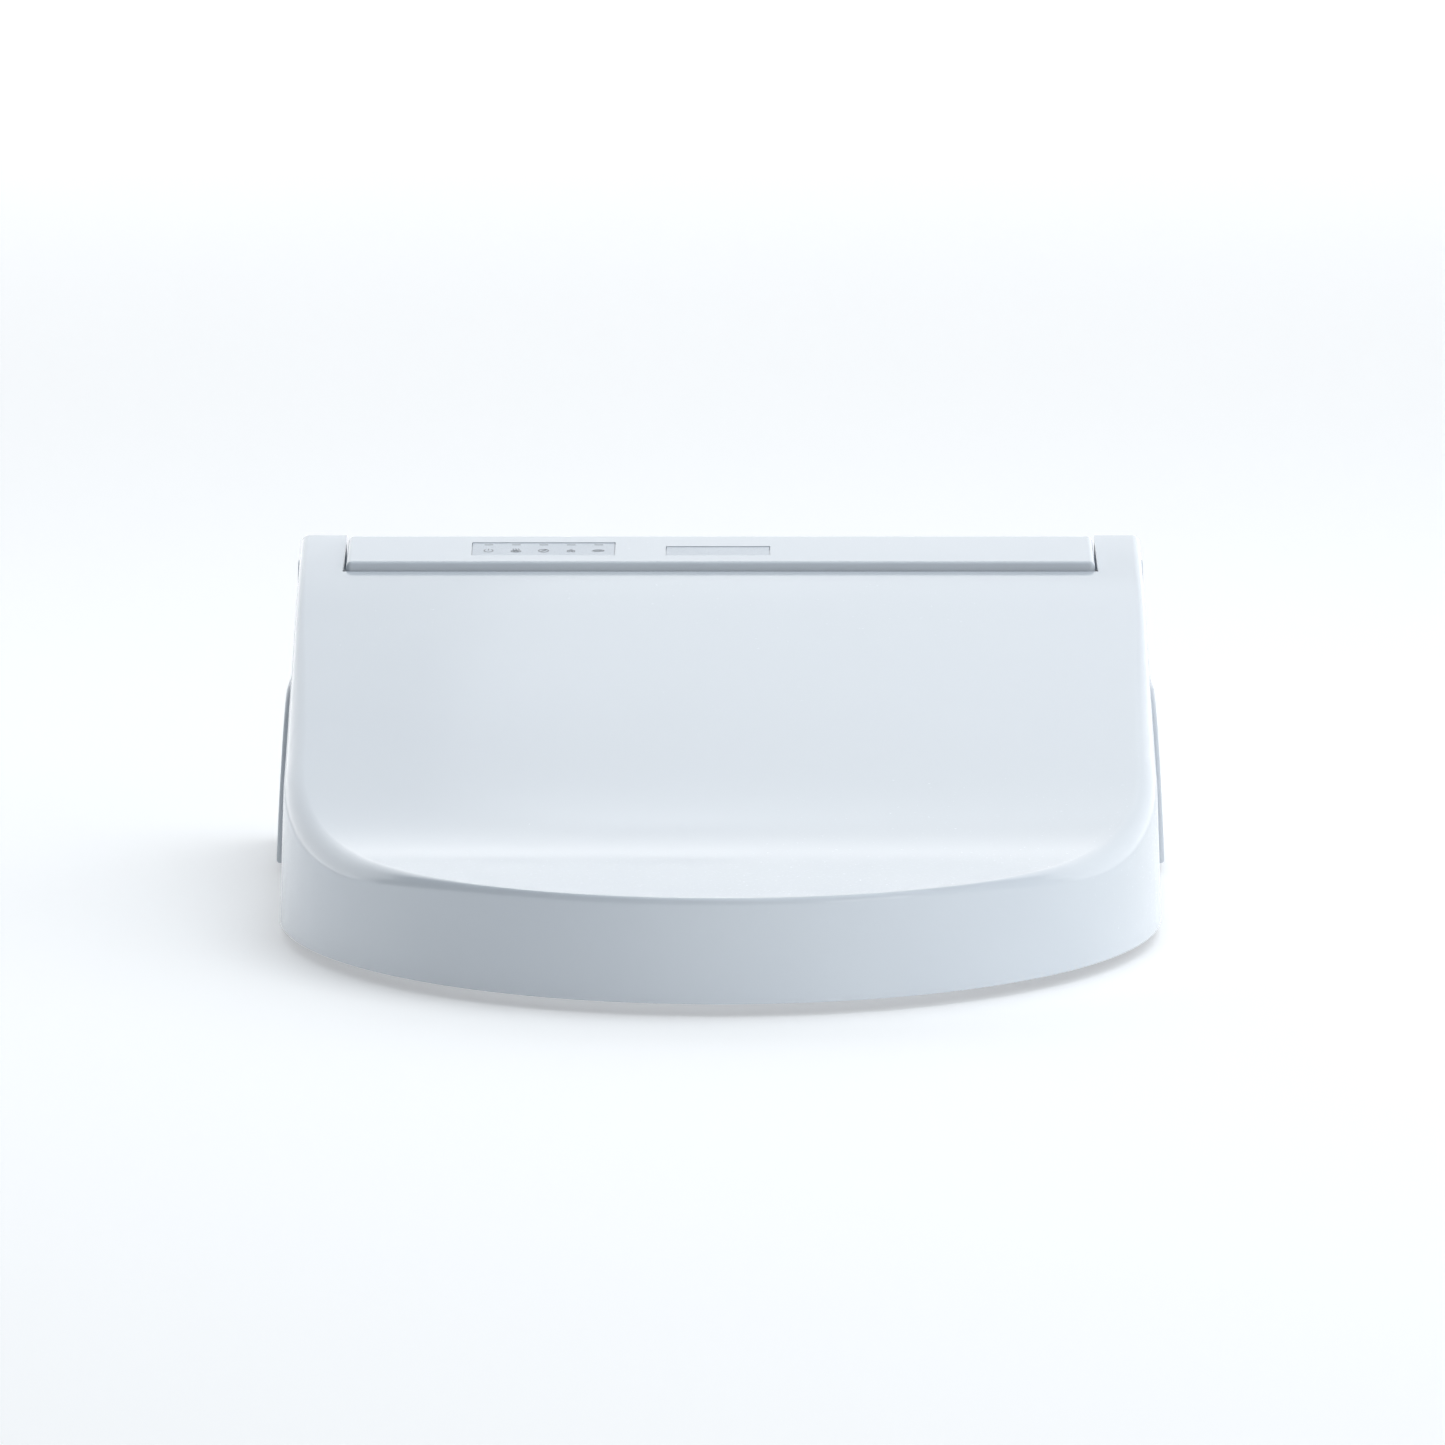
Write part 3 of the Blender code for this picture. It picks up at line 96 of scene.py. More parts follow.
# %% [markdown]
# ## The light
#
# White gloss plastic has almost no colour of its own. What tells its shape is how the light
# falls off round it, so the light is uneven on purpose: a broad panel overhead, a warm one
# at the front right, and a cool, weaker sky for the rest. The left of the front then falls
# into a bluish grey. A low, slanted panel far behind is there only for its mirror image,
# a soft band across the bend of the lid. Area lights were chosen over a sun because gloss
# mirrors them, and a soft panel leaves a soft mirror image.

# %% Set the lights
def panel_light(name, at, size, power, colour, towards=(0, 0, 0.05), lean=0.0):
    data = bpy.data.lights.new(name, "AREA")
    data.shape = "RECTANGLE"
    data.size, data.size_y = size
    data.energy = power
    data.color = colour
    light = bpy.data.objects.new(name, data)
    light.location = at
    facing = (Vector(at) - Vector(towards)).to_track_quat("Z", "Y").to_matrix()
    light.rotation_euler = (facing @ Matrix.Rotation(math.radians(lean), 3, "Z")).to_euler()
    bpy.context.scene.collection.objects.link(light)
    return light


panel_light("overhead_panel", (0.35, 0.25, 1.9), (1.8, 1.5), 11.5, (0.92, 0.965, 1.0))
panel_light("right_panel", (1.7, -1.5, 0.9), (1.2, 1.2), 8.0, (1.0, 0.985, 0.965))
panel_light("mirror_panel", (0.85, 2.6, 2.05), (2.2, 0.4), 1.3, (0.95, 0.98, 1.0), lean=-8)

bpy.context.scene.view_settings.view_transform = "Standard"

# %% [markdown]
# ## Sums on surfaces
#
# A finish is a small sum: a little noise here, one minus a mask there. Written with Blender's
# own calls each sum takes four lines, so one class wraps a socket and lets Python's plus and
# times signs add the Math nodes. Any other node comes from its one method, which takes the
# node's type, its settings and the values of its sockets.

# %% A socket that does arithmetic
class Wire:
    """One output of a node; sums with numbers or other wires add Math nodes."""

    def __init__(self, tree, socket):
        self.tree = tree
        self.socket = socket

    @classmethod
    def node(cls, tree, kind, settings=None, values=None, out=0):
        made = tree.nodes.new(kind)
        for name, value in (settings or {}).items():
            if name == "stops":
                cls._stops(made.color_ramp, value)
            else:
                setattr(made, name, value)
        for name, value in (values or {}).items():
            if isinstance(value, Wire):
                tree.links.new(made.inputs[name], value.socket)
            else:
                made.inputs[name].default_value = value
        return cls(tree, made.outputs[out])

    @staticmethod
    def _stops(ramp, stops):
        for place, colour in stops[2:]:
            ramp.elements.new(place)
        for element, (place, colour) in zip(ramp.elements, stops):
            element.position = place
            element.color = colour

    def _sum(self, operation, first, second):
        return Wire.node(self.tree, "ShaderNodeMath", {"operation": operation}, {0: first, 1: second})

    def __add__(self, other):
        return self._sum("ADD", self, other)

    def __radd__(self, other):
        return self._sum("ADD", other, self)

    def __sub__(self, other):
        return self._sum("SUBTRACT", self, other)

    def __rsub__(self, other):
        return self._sum("SUBTRACT", other, self)

    def __mul__(self, other):
        return self._sum("MULTIPLY", self, other)

    def __rmul__(self, other):
        return self._sum("MULTIPLY", other, self)


print("shader sums ready")

# %% [markdown]
# The first sum is the sky. Its brightness is a number that rises towards the right and the
# back of the room, so that the seat's left side falls off gently, as it would beside a wall.

# %% Light the room with the sky
world = bpy.data.worlds.new("studio")
world.use_nodes = True
sky = world.node_tree.nodes["Background"]
sky.inputs["Color"].default_value = (0.86, 0.93, 1.0, 1)
way = Wire.node(world.node_tree, "ShaderNodeTexCoord", out=0)
rightwards = Wire.node(world.node_tree, "ShaderNodeSeparateXYZ", values={"Vector": way}, out=0)
backwards = Wire.node(world.node_tree, "ShaderNodeSeparateXYZ", values={"Vector": way}, out=1)
glow = 0.44 + 0.34 * rightwards + 0.08 * backwards
world.node_tree.links.new(sky.inputs["Strength"], glow.socket)
bpy.context.scene.world = world
print("sky from 0.1 at the left to 0.78 at the right")

# %% [markdown]
# ## Noise, grain and relief
#
# Three helpers serve every finish. Noise is read in the object's own coordinates, in metres,
# so its scale is a count per metre and the pattern stays put on a lid that swings. A blend
# of two colours is a Mix node, because a Math node would turn them grey. Relief is a Bump
# node, measured as a real height, so that a moulded grain is a few hundredths of a
# millimetre deep and not more.

# %% Helpers for the finishes
def noise(tree, per_metre, detail=2.0, stretch=(1, 1, 1)):
    place = Wire.node(tree, "ShaderNodeTexCoord", out=3)
    if stretch != (1, 1, 1):
        place = Wire.node(tree, "ShaderNodeMapping", values={"Vector": place, "Scale": stretch})
    return Wire.node(
        tree, "ShaderNodeTexNoise", values={"Vector": place, "Scale": per_metre, "Detail": detail}
    )


def spread(wire, low, high):
    """Stretch the middle of a noise to the range from 0 to 1."""
    return Wire.node(
        wire.tree, "ShaderNodeMapRange", values={"Value": wire, "From Min": low, "From Max": high}
    )


def between(mask, first, second):
    """A colour between two, by a mask."""
    mix = Wire.node(
        mask.tree, "ShaderNodeMix", {"data_type": "RGBA"}, {0: mask, 6: first, 7: second}, out=2
    )
    return mix


def relief(height, depth, strength=1.0, normal=None):
    values = {"Height": height, "Distance": depth, "Strength": strength}
    if normal is not None:
        values["Normal"] = normal
    return Wire.node(height.tree, "ShaderNodeBump", values=values)


def tone(r, g, b):
    return (r, g, b, 1)


def finish(name, build, **fixed):
    """A new material: what varies comes from build, and what is even is set on its sockets."""
    material = bpy.data.materials.new(name)
    material.use_nodes = True
    tree = material.node_tree
    surface = tree.nodes["Principled BSDF"]
    for socket, value in fixed.items():
        surface.inputs[socket.replace("_", " ")].default_value = value
    for socket, wire in build(tree).items():
        tree.links.new(surface.inputs[socket], wire.socket)
    return material


print("helpers ready")

# %% [markdown]
# ## The plastics
#
# The lid and the seat are polished polypropylene: a cool white that mirrors the room, with
# the very shallow waves that a mould leaves, called orange peel, and a fine dust that dulls
# the mirror here and there. The case is the same white with a satin grain from an etched
# mould, which scatters the light. Both start from two whites that drift into each other over
# a hand's width, because no moulding is one even white.

# %% White and black plastics
def gloss_white(tree):
    drift = spread(noise(tree, 9, 1), 0.35, 0.65)
    peel = noise(tree, 260, 2)
    grain = noise(tree, 2600, 2)
    dust = spread(noise(tree, 700, 3), 0.58, 0.75)
    return {
        "Base Color": between(drift, tone(0.69, 0.735, 0.785), tone(0.715, 0.76, 0.805)),
        "Roughness": 0.10 + 0.05 * drift + 0.14 * dust,
        "Normal": relief(grain, 0.004 * MM, 0.6, relief(peel, 0.010 * MM, 0.5)),
    }


def satin_white(tree):
    drift = spread(noise(tree, 12, 1), 0.35, 0.65)
    grain = noise(tree, 1800, 3)
    rubbed = spread(noise(tree, 60, 4), 0.5, 0.8)
    return {
        "Base Color": between(drift, tone(0.63, 0.67, 0.715), tone(0.67, 0.705, 0.75)),
        "Roughness": 0.42 - 0.10 * rubbed + 0.06 * grain,
        "Normal": relief(grain, 0.03 * MM, 0.7),
    }


def black_plastic(tree):
    grain = noise(tree, 1500, 3)
    scuff = spread(noise(tree, 90, 5, (1, 4, 1)), 0.6, 0.85)
    return {
        "Base Color": between(scuff, tone(0.022, 0.023, 0.026), tone(0.065, 0.067, 0.072)),
        "Roughness": 0.42 + 0.12 * grain + 0.1 * scuff,
        "Normal": relief(grain, 0.03 * MM, 0.7),
    }


def natural_nylon(tree):
    cloud = spread(noise(tree, 45, 3), 0.3, 0.7)
    grain = noise(tree, 900, 2)
    return {
        "Base Color": between(cloud, tone(0.60, 0.575, 0.51), tone(0.71, 0.69, 0.63)),
        "Roughness": 0.40 + 0.14 * cloud,
        "Normal": relief(grain, 0.02 * MM, 0.5),
    }


FINISHES = {
    "gloss_white_plastic": finish("gloss_white_plastic", gloss_white, IOR=1.5),
    "satin_white_plastic": finish("satin_white_plastic", satin_white, IOR=1.5),
    "black_plastic": finish("black_plastic", black_plastic, IOR=1.5),
    "natural_nylon": finish("natural_nylon", natural_nylon, IOR=1.53),
}
print("plastics:", len(FINISHES))

# %% [markdown]
# ## Window, film, guide and rubber
#
# The sensor window is smoked acrylic, almost black with a mirror finish. The film over the
# indicator lamps is a printed sheet with a fine matt texture. The light guide under it is
# clear acrylic, and the feet and pads are moulded rubber: dark, matt and a little mottled
# where they have been pressed.

# %% Clear, printed and soft materials
def smoked_window(tree):
    drift = spread(noise(tree, 150, 2), 0.4, 0.7)
    return {
        "Base Color": between(drift, tone(0.012, 0.010, 0.014), tone(0.028, 0.022, 0.030)),
        "Roughness": 0.05 + 0.06 * drift,
    }


def printed_film(tree):
    drift = spread(noise(tree, 40, 1), 0.35, 0.65)
    weave = noise(tree, 3200, 1)
    return {
        "Base Color": between(drift, tone(0.56, 0.61, 0.67), tone(0.60, 0.65, 0.71)),
        "Roughness": 0.24 + 0.10 * weave,
        "Normal": relief(weave, 0.006 * MM, 0.6),
    }


def clear_acrylic(tree):
    drift = spread(noise(tree, 200, 2), 0.4, 0.7)
    return {
        "Base Color": between(drift, tone(0.80, 0.86, 0.88), tone(0.90, 0.94, 0.95)),
        "Roughness": 0.05 + 0.08 * drift,
    }


def grey_rubber(tree):
    mottle = spread(noise(tree, 220, 4), 0.35, 0.7)
    grain = noise(tree, 1400, 3)
    return {
        "Base Color": between(mottle, tone(0.10, 0.105, 0.11), tone(0.17, 0.175, 0.18)),
        "Roughness": 0.68 + 0.16 * grain,
        "Normal": relief(grain, 0.05 * MM, 0.8),
    }


FINISHES["smoked_window"] = finish("smoked_window", smoked_window, Coat_Weight=0.5)
FINISHES["printed_film"] = finish("printed_film", printed_film, IOR=1.55)
FINISHES["clear_acrylic"] = finish("clear_acrylic", clear_acrylic, Transmission_Weight=0.6)
FINISHES["grey_rubber"] = finish("grey_rubber", grey_rubber, Specular_IOR_Level=0.3)
print("finishes so far:", len(FINISHES))

# %% [markdown]
# ## Board and metals
#
# The circuit board is glass fibre under green lacquer, with a paler weave and darker tracks
# running one way. Steel shafts and the nozzle are drawn, so their scratches run along them:
# a noise squeezed in one direction gives that. Foil is crinkled where it was pressed down.
# The inlet is brass under nickel, which goes a little yellow where it is handled.

# %% Laminate and metals
def green_laminate(tree):
    tracks = spread(noise(tree, 420, 1, (1, 0.12, 1)), 0.47, 0.53)
    weave = noise(tree, 2200, 1)
    return {
        "Base Color": between(tracks, tone(0.012, 0.085, 0.035), tone(0.03, 0.17, 0.07)),
        "Roughness": 0.30 + 0.15 * weave,
        "Normal": relief(tracks, 0.02 * MM, 0.6),
    }


def stainless_steel(tree):
    drawn = noise(tree, 2400, 3, (0.03, 1, 1))
    cloud = spread(noise(tree, 80, 3), 0.3, 0.7)
    return {
        "Base Color": between(cloud, tone(0.52, 0.52, 0.53), tone(0.64, 0.64, 0.65)),
        "Roughness": 0.18 + 0.18 * drawn,
        "Normal": relief(drawn, 0.006 * MM, 0.6),
    }


def aluminium_foil(tree):
    crinkle = noise(tree, 130, 5)
    return {
        "Base Color": between(crinkle, tone(0.68, 0.69, 0.70), tone(0.80, 0.80, 0.81)),
        "Roughness": 0.22 + 0.22 * crinkle,
        "Normal": relief(crinkle, 0.5 * MM, 0.7),
    }


def nickel_brass(tree):
    worn = spread(noise(tree, 110, 4), 0.52, 0.75)
    turned = noise(tree, 2000, 2, (1, 1, 0.05))
    return {
        "Base Color": between(worn, tone(0.62, 0.60, 0.56), tone(0.68, 0.58, 0.40)),
        "Roughness": 0.16 + 0.14 * turned + 0.08 * worn,
        "Normal": relief(turned, 0.006 * MM, 0.5),
    }


METAL = {"Metallic": 1.0}
FINISHES["green_laminate"] = finish("green_laminate", green_laminate, IOR=1.55)
FINISHES["stainless_steel"] = finish("stainless_steel", stainless_steel, **METAL)
FINISHES["aluminium_foil"] = finish("aluminium_foil", aluminium_foil, **METAL)
FINISHES["nickel_brass"] = finish("nickel_brass", nickel_brass, **METAL)
print("finishes:", ", ".join(FINISHES))

# %% [markdown]
# ## Dress the frame
#
# The record of the frame says which finish each piece takes. Pieces whose shape is already
# right keep their mesh and only get the better surface, so this is one loop over the record.

# %% Give every piece of the frame its finish
for part in frame["record"]["subparts"]:
    mesh = frame["nodes"][part["node"]].data
    mesh.materials.clear()
    mesh.materials.append(FINISHES[part["material_slot"]])

# %% [markdown]
# ## Floor and backdrop
#
# A plain pale floor runs back to a white sheet, as in a small studio. Both have the faintest
# mottling, and both glow very slightly, which stands in for the bounce of a white room and
# keeps the far floor from going grey.

# %% Make the floor and the backdrop
def paper_finish(tree):
    drift = spread(noise(tree, 0.7, 2), 0.3, 0.7)
    return {
        "Base Color": between(drift, tone(0.92, 0.92, 0.92), tone(0.94, 0.94, 0.94)),
        "Roughness": 0.75 + 0.1 * drift,
    }


def paper(name, corners, glow):
    """A flat sheet of studio paper through its corners."""
    bm = bmesh.new()
    bm.faces.new([bm.verts.new(corner) for corner in corners])
    mesh = bpy.data.meshes.new(name)
    bm.to_mesh(mesh)
    bm.free()
    look = finish(name, paper_finish, Specular_IOR_Level=0.1, Emission_Strength=glow)
    look.node_tree.nodes["Principled BSDF"].inputs["Emission Color"].default_value = tone(1, 1, 1)
    mesh.materials.append(look)
    sheet = bpy.data.objects.new(name, mesh)
    bpy.context.scene.collection.objects.link(sheet)
    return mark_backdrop(sheet)


WIDE = 12.0
BEHIND = 6.5
TALL = 5.6
SINK = -0.2 * MM
front = [(-WIDE, -WIDE, SINK), (WIDE, -WIDE, SINK)]
fold = [(WIDE, BEHIND, SINK), (-WIDE, BEHIND, SINK)]
paper("floor", front + fold, 0.26)
paper("backdrop", fold[::-1] + [(WIDE, BEHIND, TALL), (-WIDE, BEHIND, TALL)], 1.1)
print("floor", 2 * WIDE, "m wide, backdrop", BEHIND, "m behind")

# %% [markdown]
# ## The lid
#
# The lid is one thin moulded shell: a level front, a soft bend, then a long slope up to the
# hinge, with a skirt that leans in a little so that it leaves its mould. It could be a box
# with a subdivision surface, but then its edge radius would drift. Here rings of points are
# worked out from the plan and from the height at each station, so the radius is what it
# should be everywhere: tight at the front tip, wide round the corners, less at the back.
#
# The half width is read from the box of the frame's lid. The widest corner of that lid is
# cut away, so the lid made here is about 2.5 mm narrower on each side than the frame's, and
# the seat's ring, which is measured from it, is too.

# %% Measures of the lid, from the frame
lid_low, lid_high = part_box("lid_shell")
cover_low, cover_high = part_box("top_cover")
side_low, side_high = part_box("side_cover_right")
hinge = [j for j in frame["joints"] if j["name"] == "lid_hinge"][0]["pos_m"]
seat_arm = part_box("seat_top")[1]

TIP = lid_low.y
LENGTH = cover_high.y - TIP
REAR = cover_high.y
EDGE = lid_low.z
EAR_BACK = lid_high.y
MID = TIP + 250 * MM
FLARE = 6 * MM
HALF = lid_high.x - FLARE * (EAR_BACK - MID) / (REAR - MID)
WALL = 3 * MM
EAR_ROUND = 4 * MM
DRAFT = math.tan(math.radians(2))
FRONT_HIGH = 47.5 * MM
SLOPE = 0.2443
BEND_AT = 145.7 * MM
BEND_SOFT = 20.8 * MM
EASE_FROM = 430 * MM
EASE = 0.42
TIP_ROUND = 3 * MM
SHARP = math.radians(34)
print("lid", round(LENGTH / MM, 1), "mm long,", round(2 * lid_high.x / MM, 1), "mm wide")

# %% The lid's height and edge radius at each station
def ramp(y, start, end):
    """0 before the start, 1 after the end, and a smooth rise between."""
    t = min(max((y - start) / (end - start), 0), 1)
    return t * t * (3 - 2 * t)


def lid_top(y):
    s = y - TIP
    bend = BEND_SOFT * math.log1p(math.exp((s - BEND_AT) / BEND_SOFT))
    ease = EASE * max(s - EASE_FROM, 0) ** 2
    over = max(y - (EAR_BACK - EAR_ROUND), 0)
    corner = EAR_ROUND - math.sqrt(max(EAR_ROUND ** 2 - over ** 2, 0))
    return FRONT_HIGH + SLOPE * bend - ease - corner


def lid_round(y):
    """The radius of the top edge: it widens round the corners and tightens to the back."""
    s = y - TIP
    widen = 6 * MM * ramp(s, 20 * MM, 130 * MM)
    tighten = 5 * MM * ramp(s, 250 * MM, LENGTH - 60 * MM)
    return TIP_ROUND + widen - tighten


def lid_plan(inset, back, arc_steps=56, side_steps=26):
    """Right half of the plan, front tip first, moved inwards by an even amount."""
    points = []
    for i in range(arc_steps + 1):
        turn = math.pi / 2 * i / arc_steps
        out = Vector((math.sin(turn) / HALF, -math.cos(turn) / (MID - TIP))).normalized()
        points.append(Vector((HALF * math.sin(turn), MID - (MID - TIP) * math.cos(turn))) - inset * out)
    start = back - EAR_ROUND
    stations = [MID + (start - MID) * i / side_steps for i in range(1, side_steps + 1)]
    stations += [start + EAR_ROUND * math.sin(math.radians(a)) for a in range(12, 91, 13)]
    return points + [Vector((HALF + FLARE * (y - MID) / (REAR - MID) - inset, y)) for y in stations]


print("top at the plan's middle, mm:", round(lid_top(MID) / MM, 1))
print("top at the hinge, mm:", round(lid_top(hinge[1]) / MM, 1))

# %% [markdown]
# The rings run from the lower edge, which is broken by a small radius, up the leaning skirt
# and over the edge radius. Ladder faces then close the top and the bottom from side to side.

# %% Build a closed form from rings
BROKEN_EDGE = ((0.7, 0.0), (0.2, 0.2), (0.0, 0.7))
PLAIN_EDGE = ((0.0, 0.0),)


def lid_rings(inset, low, back):
    base = lid_plan(inset, back)
    plan, plan_inside = lid_plan(0, back), lid_plan(1 * MM, back)
    rings = []
    for sink, lift in BROKEN_EDGE if inset == 0 else PLAIN_EDGE:
        extra = DRAFT * (low - EDGE) + sink * MM
        rings.append([(q.x, q.y, low + lift * MM) for q in lid_plan(inset + extra, back)])
    for degrees in range(0, 91, 9):
        turn = math.radians(degrees)
        ring = []
        for i, p in enumerate(base):
            radius = max(lid_round(p.y) - inset, 2 * MM)
            rise = lid_top(p.y) - inset - radius - EDGE
            extra = DRAFT * rise + radius * (1 - math.cos(turn))
            q = plan[i] + (plan_inside[i] - plan[i]) * ((inset + extra) / MM)
            ring.append((q.x, q.y, lid_top(q.y) - inset - radius * (1 - math.sin(turn))))
        rings.append(ring)
    return rings


def closed_form(rings):
    bm = bmesh.new()
    right = [[bm.verts.new((max(x, 0), y, z)) for x, y, z in ring] for ring in rings]
    left = [
        [right[k][0]] + [bm.verts.new((-x, y, z)) for x, y, z in ring[1:]]
        for k, ring in enumerate(rings)
    ]
    count = len(rings[0])
    for side in (right, left):
        for k in range(len(rings) - 1):
            for i in range(count - 1):
                bm.faces.new((side[k][i], side[k][i + 1], side[k + 1][i + 1], side[k + 1][i]))
    for k in (0, len(rings) - 1):
        bm.faces.new((right[k][0], right[k][1], left[k][1]))
        for i in range(1, count - 1):
            bm.faces.new((right[k][i], right[k][i + 1], left[k][i + 1], left[k][i]))
    bm.faces.new([row[-1] for row in right] + [row[-1] for row in reversed(left)])
    bmesh.ops.recalc_face_normals(bm, faces=bm.faces)
    return bm


def object_from(name, bm, material=None):
    mesh = bpy.data.meshes.new(name)
    bm.to_mesh(mesh)
    bm.free()
    mesh.shade_smooth()
    mesh.set_sharp_from_angle(angle=SHARP)
    if material:
        mesh.materials.append(material)
    made = bpy.data.objects.new(name, mesh)
    bpy.context.scene.collection.objects.link(made)
    return made


print("ring builder ready")

# %% [markdown]
# ## Cutting the lid
#
# The inside of the shell, the notch for the strip, the pockets behind the ears and the swept
# side edges are cut away as solids. Booleans are right for this because each cut is a plain
# prism. They are applied one after another, and then the tools are thrown away.

# %% Cutting tools
def prism(points, low, high, axis="X"):
    place = {"X": lambda a, b, h: (h, a, b), "Z": lambda a, b, h: (a, b, h)}[axis]
    bm = bmesh.new()
    rings = [[bm.verts.new(place(a, b, h)) for a, b in points] for h in (low, high)]
    for ring in rings:
        bm.faces.new(ring)
    for i in range(len(points)):
        j = (i + 1) % len(points)
        bm.faces.new((rings[0][i], rings[0][j], rings[1][j], rings[1][i]))
    bmesh.ops.recalc_face_normals(bm, faces=bm.faces)
    return bm


def circle(a, b, radius, sides=64):
    turns = [2 * math.pi * i / sides for i in range(sides)]
    return [(a + radius * math.cos(t), b + radius * math.sin(t)) for t in turns]


def block(x, y, z):
    return prism([(x[0], y[0]), (x[1], y[0]), (x[1], y[1]), (x[0], y[1])], z[0], z[1], "Z")


def carve(target, bm, operation="DIFFERENCE"):
    """Cut a solid away, or join one, and keep the result in the mesh."""
    tool = object_from("tool", bm)
    step = target.modifiers.new("step", "BOOLEAN")
    step.operation = operation
    step.solver = "EXACT"
    step.object = tool
    bake(target)
    bpy.data.meshes.remove(tool.data)


def bake(target):
    bpy.context.view_layer.update()
    shape = target.evaluated_get(bpy.context.evaluated_depsgraph_get())
    mesh = bpy.data.meshes.new_from_object(shape)
    target.modifiers.clear()
    old = target.data
    target.data = mesh
    bpy.data.meshes.remove(old)


def soften(target):
    """Smooth shading that stays crisp at real edges, weighed by the size of the faces."""
    target.data.shade_smooth()
    target.data.set_sharp_from_angle(angle=SHARP)
    target.modifiers.new("weigh", "WEIGHTED_NORMAL").keep_sharp = True


print("tools ready")

# %% The lid itself
LID_BACK = REAR - 60 * MM
STRIP_HALF = cover_high.x + 1.3 * MM
ARM_OUT = seat_arm.x
HINGE_Y, HINGE_Z = hinge[1], hinge[2]
JOG = 1 * MM
PAST = REAR + 10 * MM
UNDER = -10 * MM
BOSS = 8.3 * MM
BORE = 4.3 * MM

lid = object_from("lid", closed_form(lid_rings(0, EDGE, EAR_BACK)), FINISHES["gloss_white_plastic"])
carve(lid, closed_form(lid_rings(WALL, UNDER, LID_BACK + JOG)))
carve(lid, block((-STRIP_HALF, STRIP_HALF), (LID_BACK, PAST), (UNDER, 1)))
print("lid faces after the first cuts:", len(lid.data.polygons))

# %% [markdown]
# Behind each ear the lid is hollow, to clear the seat's arm and the hinge. A round boss on
# the inner face of the ear then takes the hinge shaft. The side edge is a quarter of an
# ellipse that runs into an arc about the hinge, so that the lid clears the case as it swings.

# %% Pockets, side edges and hinge bosses
LANE_OUT = ARM_OUT + 2.5 * MM
SKIN_BACK = EAR_BACK - 3.5 * MM
SKIN_LOW = HINGE_Z - 4 * MM
EDGE_RUN = 54 * MM
SWING = 42 * MM
ceiling = [
    (y, lid_top(y) - WALL)
    for y in (LID_BACK - 5 * MM, HINGE_Y - 10 * MM, HINGE_Y + 8 * MM, SKIN_BACK)
]
pocket = [(LID_BACK - 5 * MM, UNDER)] + ceiling
pocket += [(SKIN_BACK, SKIN_LOW), (PAST, SKIN_LOW), (PAST, UNDER)]
for side in (-1, 1):
    carve(lid, prism(pocket, *sorted((side * (STRIP_HALF - JOG), side * LANE_OUT))))

knee = HINGE_Y - 35 * MM
rise = side_high.z + 2 * MM - EDGE
edge = [
    (knee - EDGE_RUN * math.cos(a), EDGE + rise * math.sin(a))
    for a in [math.radians(3 * i) for i in range(31)]
]
sweep = [
    (HINGE_Y + SWING * math.sin(a), HINGE_Z - SWING * math.cos(a))
    for a in [math.radians(2 * i) for i in range(26)]
]
below = [(edge[0][0], UNDER)] + edge + sweep + [(PAST, sweep[-1][1]), (PAST, UNDER)]
carve(lid, prism(below, -1, 1))

face = ARM_OUT + 0.3 * MM
for side in (-1, 1):
    boss = sorted((side * face, side * (LANE_OUT + JOG)))
    bore = sorted((side * (face - JOG), side * (LANE_OUT + 1.2 * MM)))
    carve(lid, prism(circle(HINGE_Y, HINGE_Z, BOSS), *boss), "UNION")
    carve(lid, prism(circle(HINGE_Y, HINGE_Z, BORE), *bore))

soften(lid)
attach(lid, "lid")
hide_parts("lid_shell")
print("lid:", len(lid.data.polygons), "faces")

# %% [markdown]
# ## The seat
#
# The seat is a ring: an ellipse in front, squarer towards the back, with a hole of the same
# kind. Under the lid it stays level, then it rises to meet the case. It could be a curve
# with a bevel, but the section changes all the way round, so sections are worked out one by
# one and joined like the ribs of a boat. Each has full edge radii where a thigh would rest.

# %% Sections of the seat
SEAT_WALL = 2.5 * MM
SEAT_BACK = cover_low.y - 7.5 * MM
SEAT_INSET = 8.5 * MM
SEAT_HALF = HALF - SEAT_INSET
SEAT_REACH = MID - TIP - SEAT_INSET
HOLE_HALF = 105 * MM
HOLE_AHEAD = 160 * MM
HOLE_BEHIND = 85 * MM


def seat_high(y):
    return 38 * MM + 24 * MM * ramp(y, SEAT_BACK - 152 * MM, SEAT_BACK - 22 * MM)


def seat_low(y):
    return 14 * MM + 32 * MM * ramp(y, SEAT_BACK - 107 * MM, SEAT_BACK - 49 * MM)


def oval(half, ahead, behind, square, turn):
    """A point on an outline that is elliptical in front and squarer behind."""
    c, s = math.cos(turn), math.sin(turn)
    if s <= 0:
        return Vector((half * c, MID + ahead * s))
    power = 2 / square
    return Vector((
        half * math.copysign((1 - s ** 4) ** (power / 2), c),
        MID + behind * s ** (2 * power),
    ))


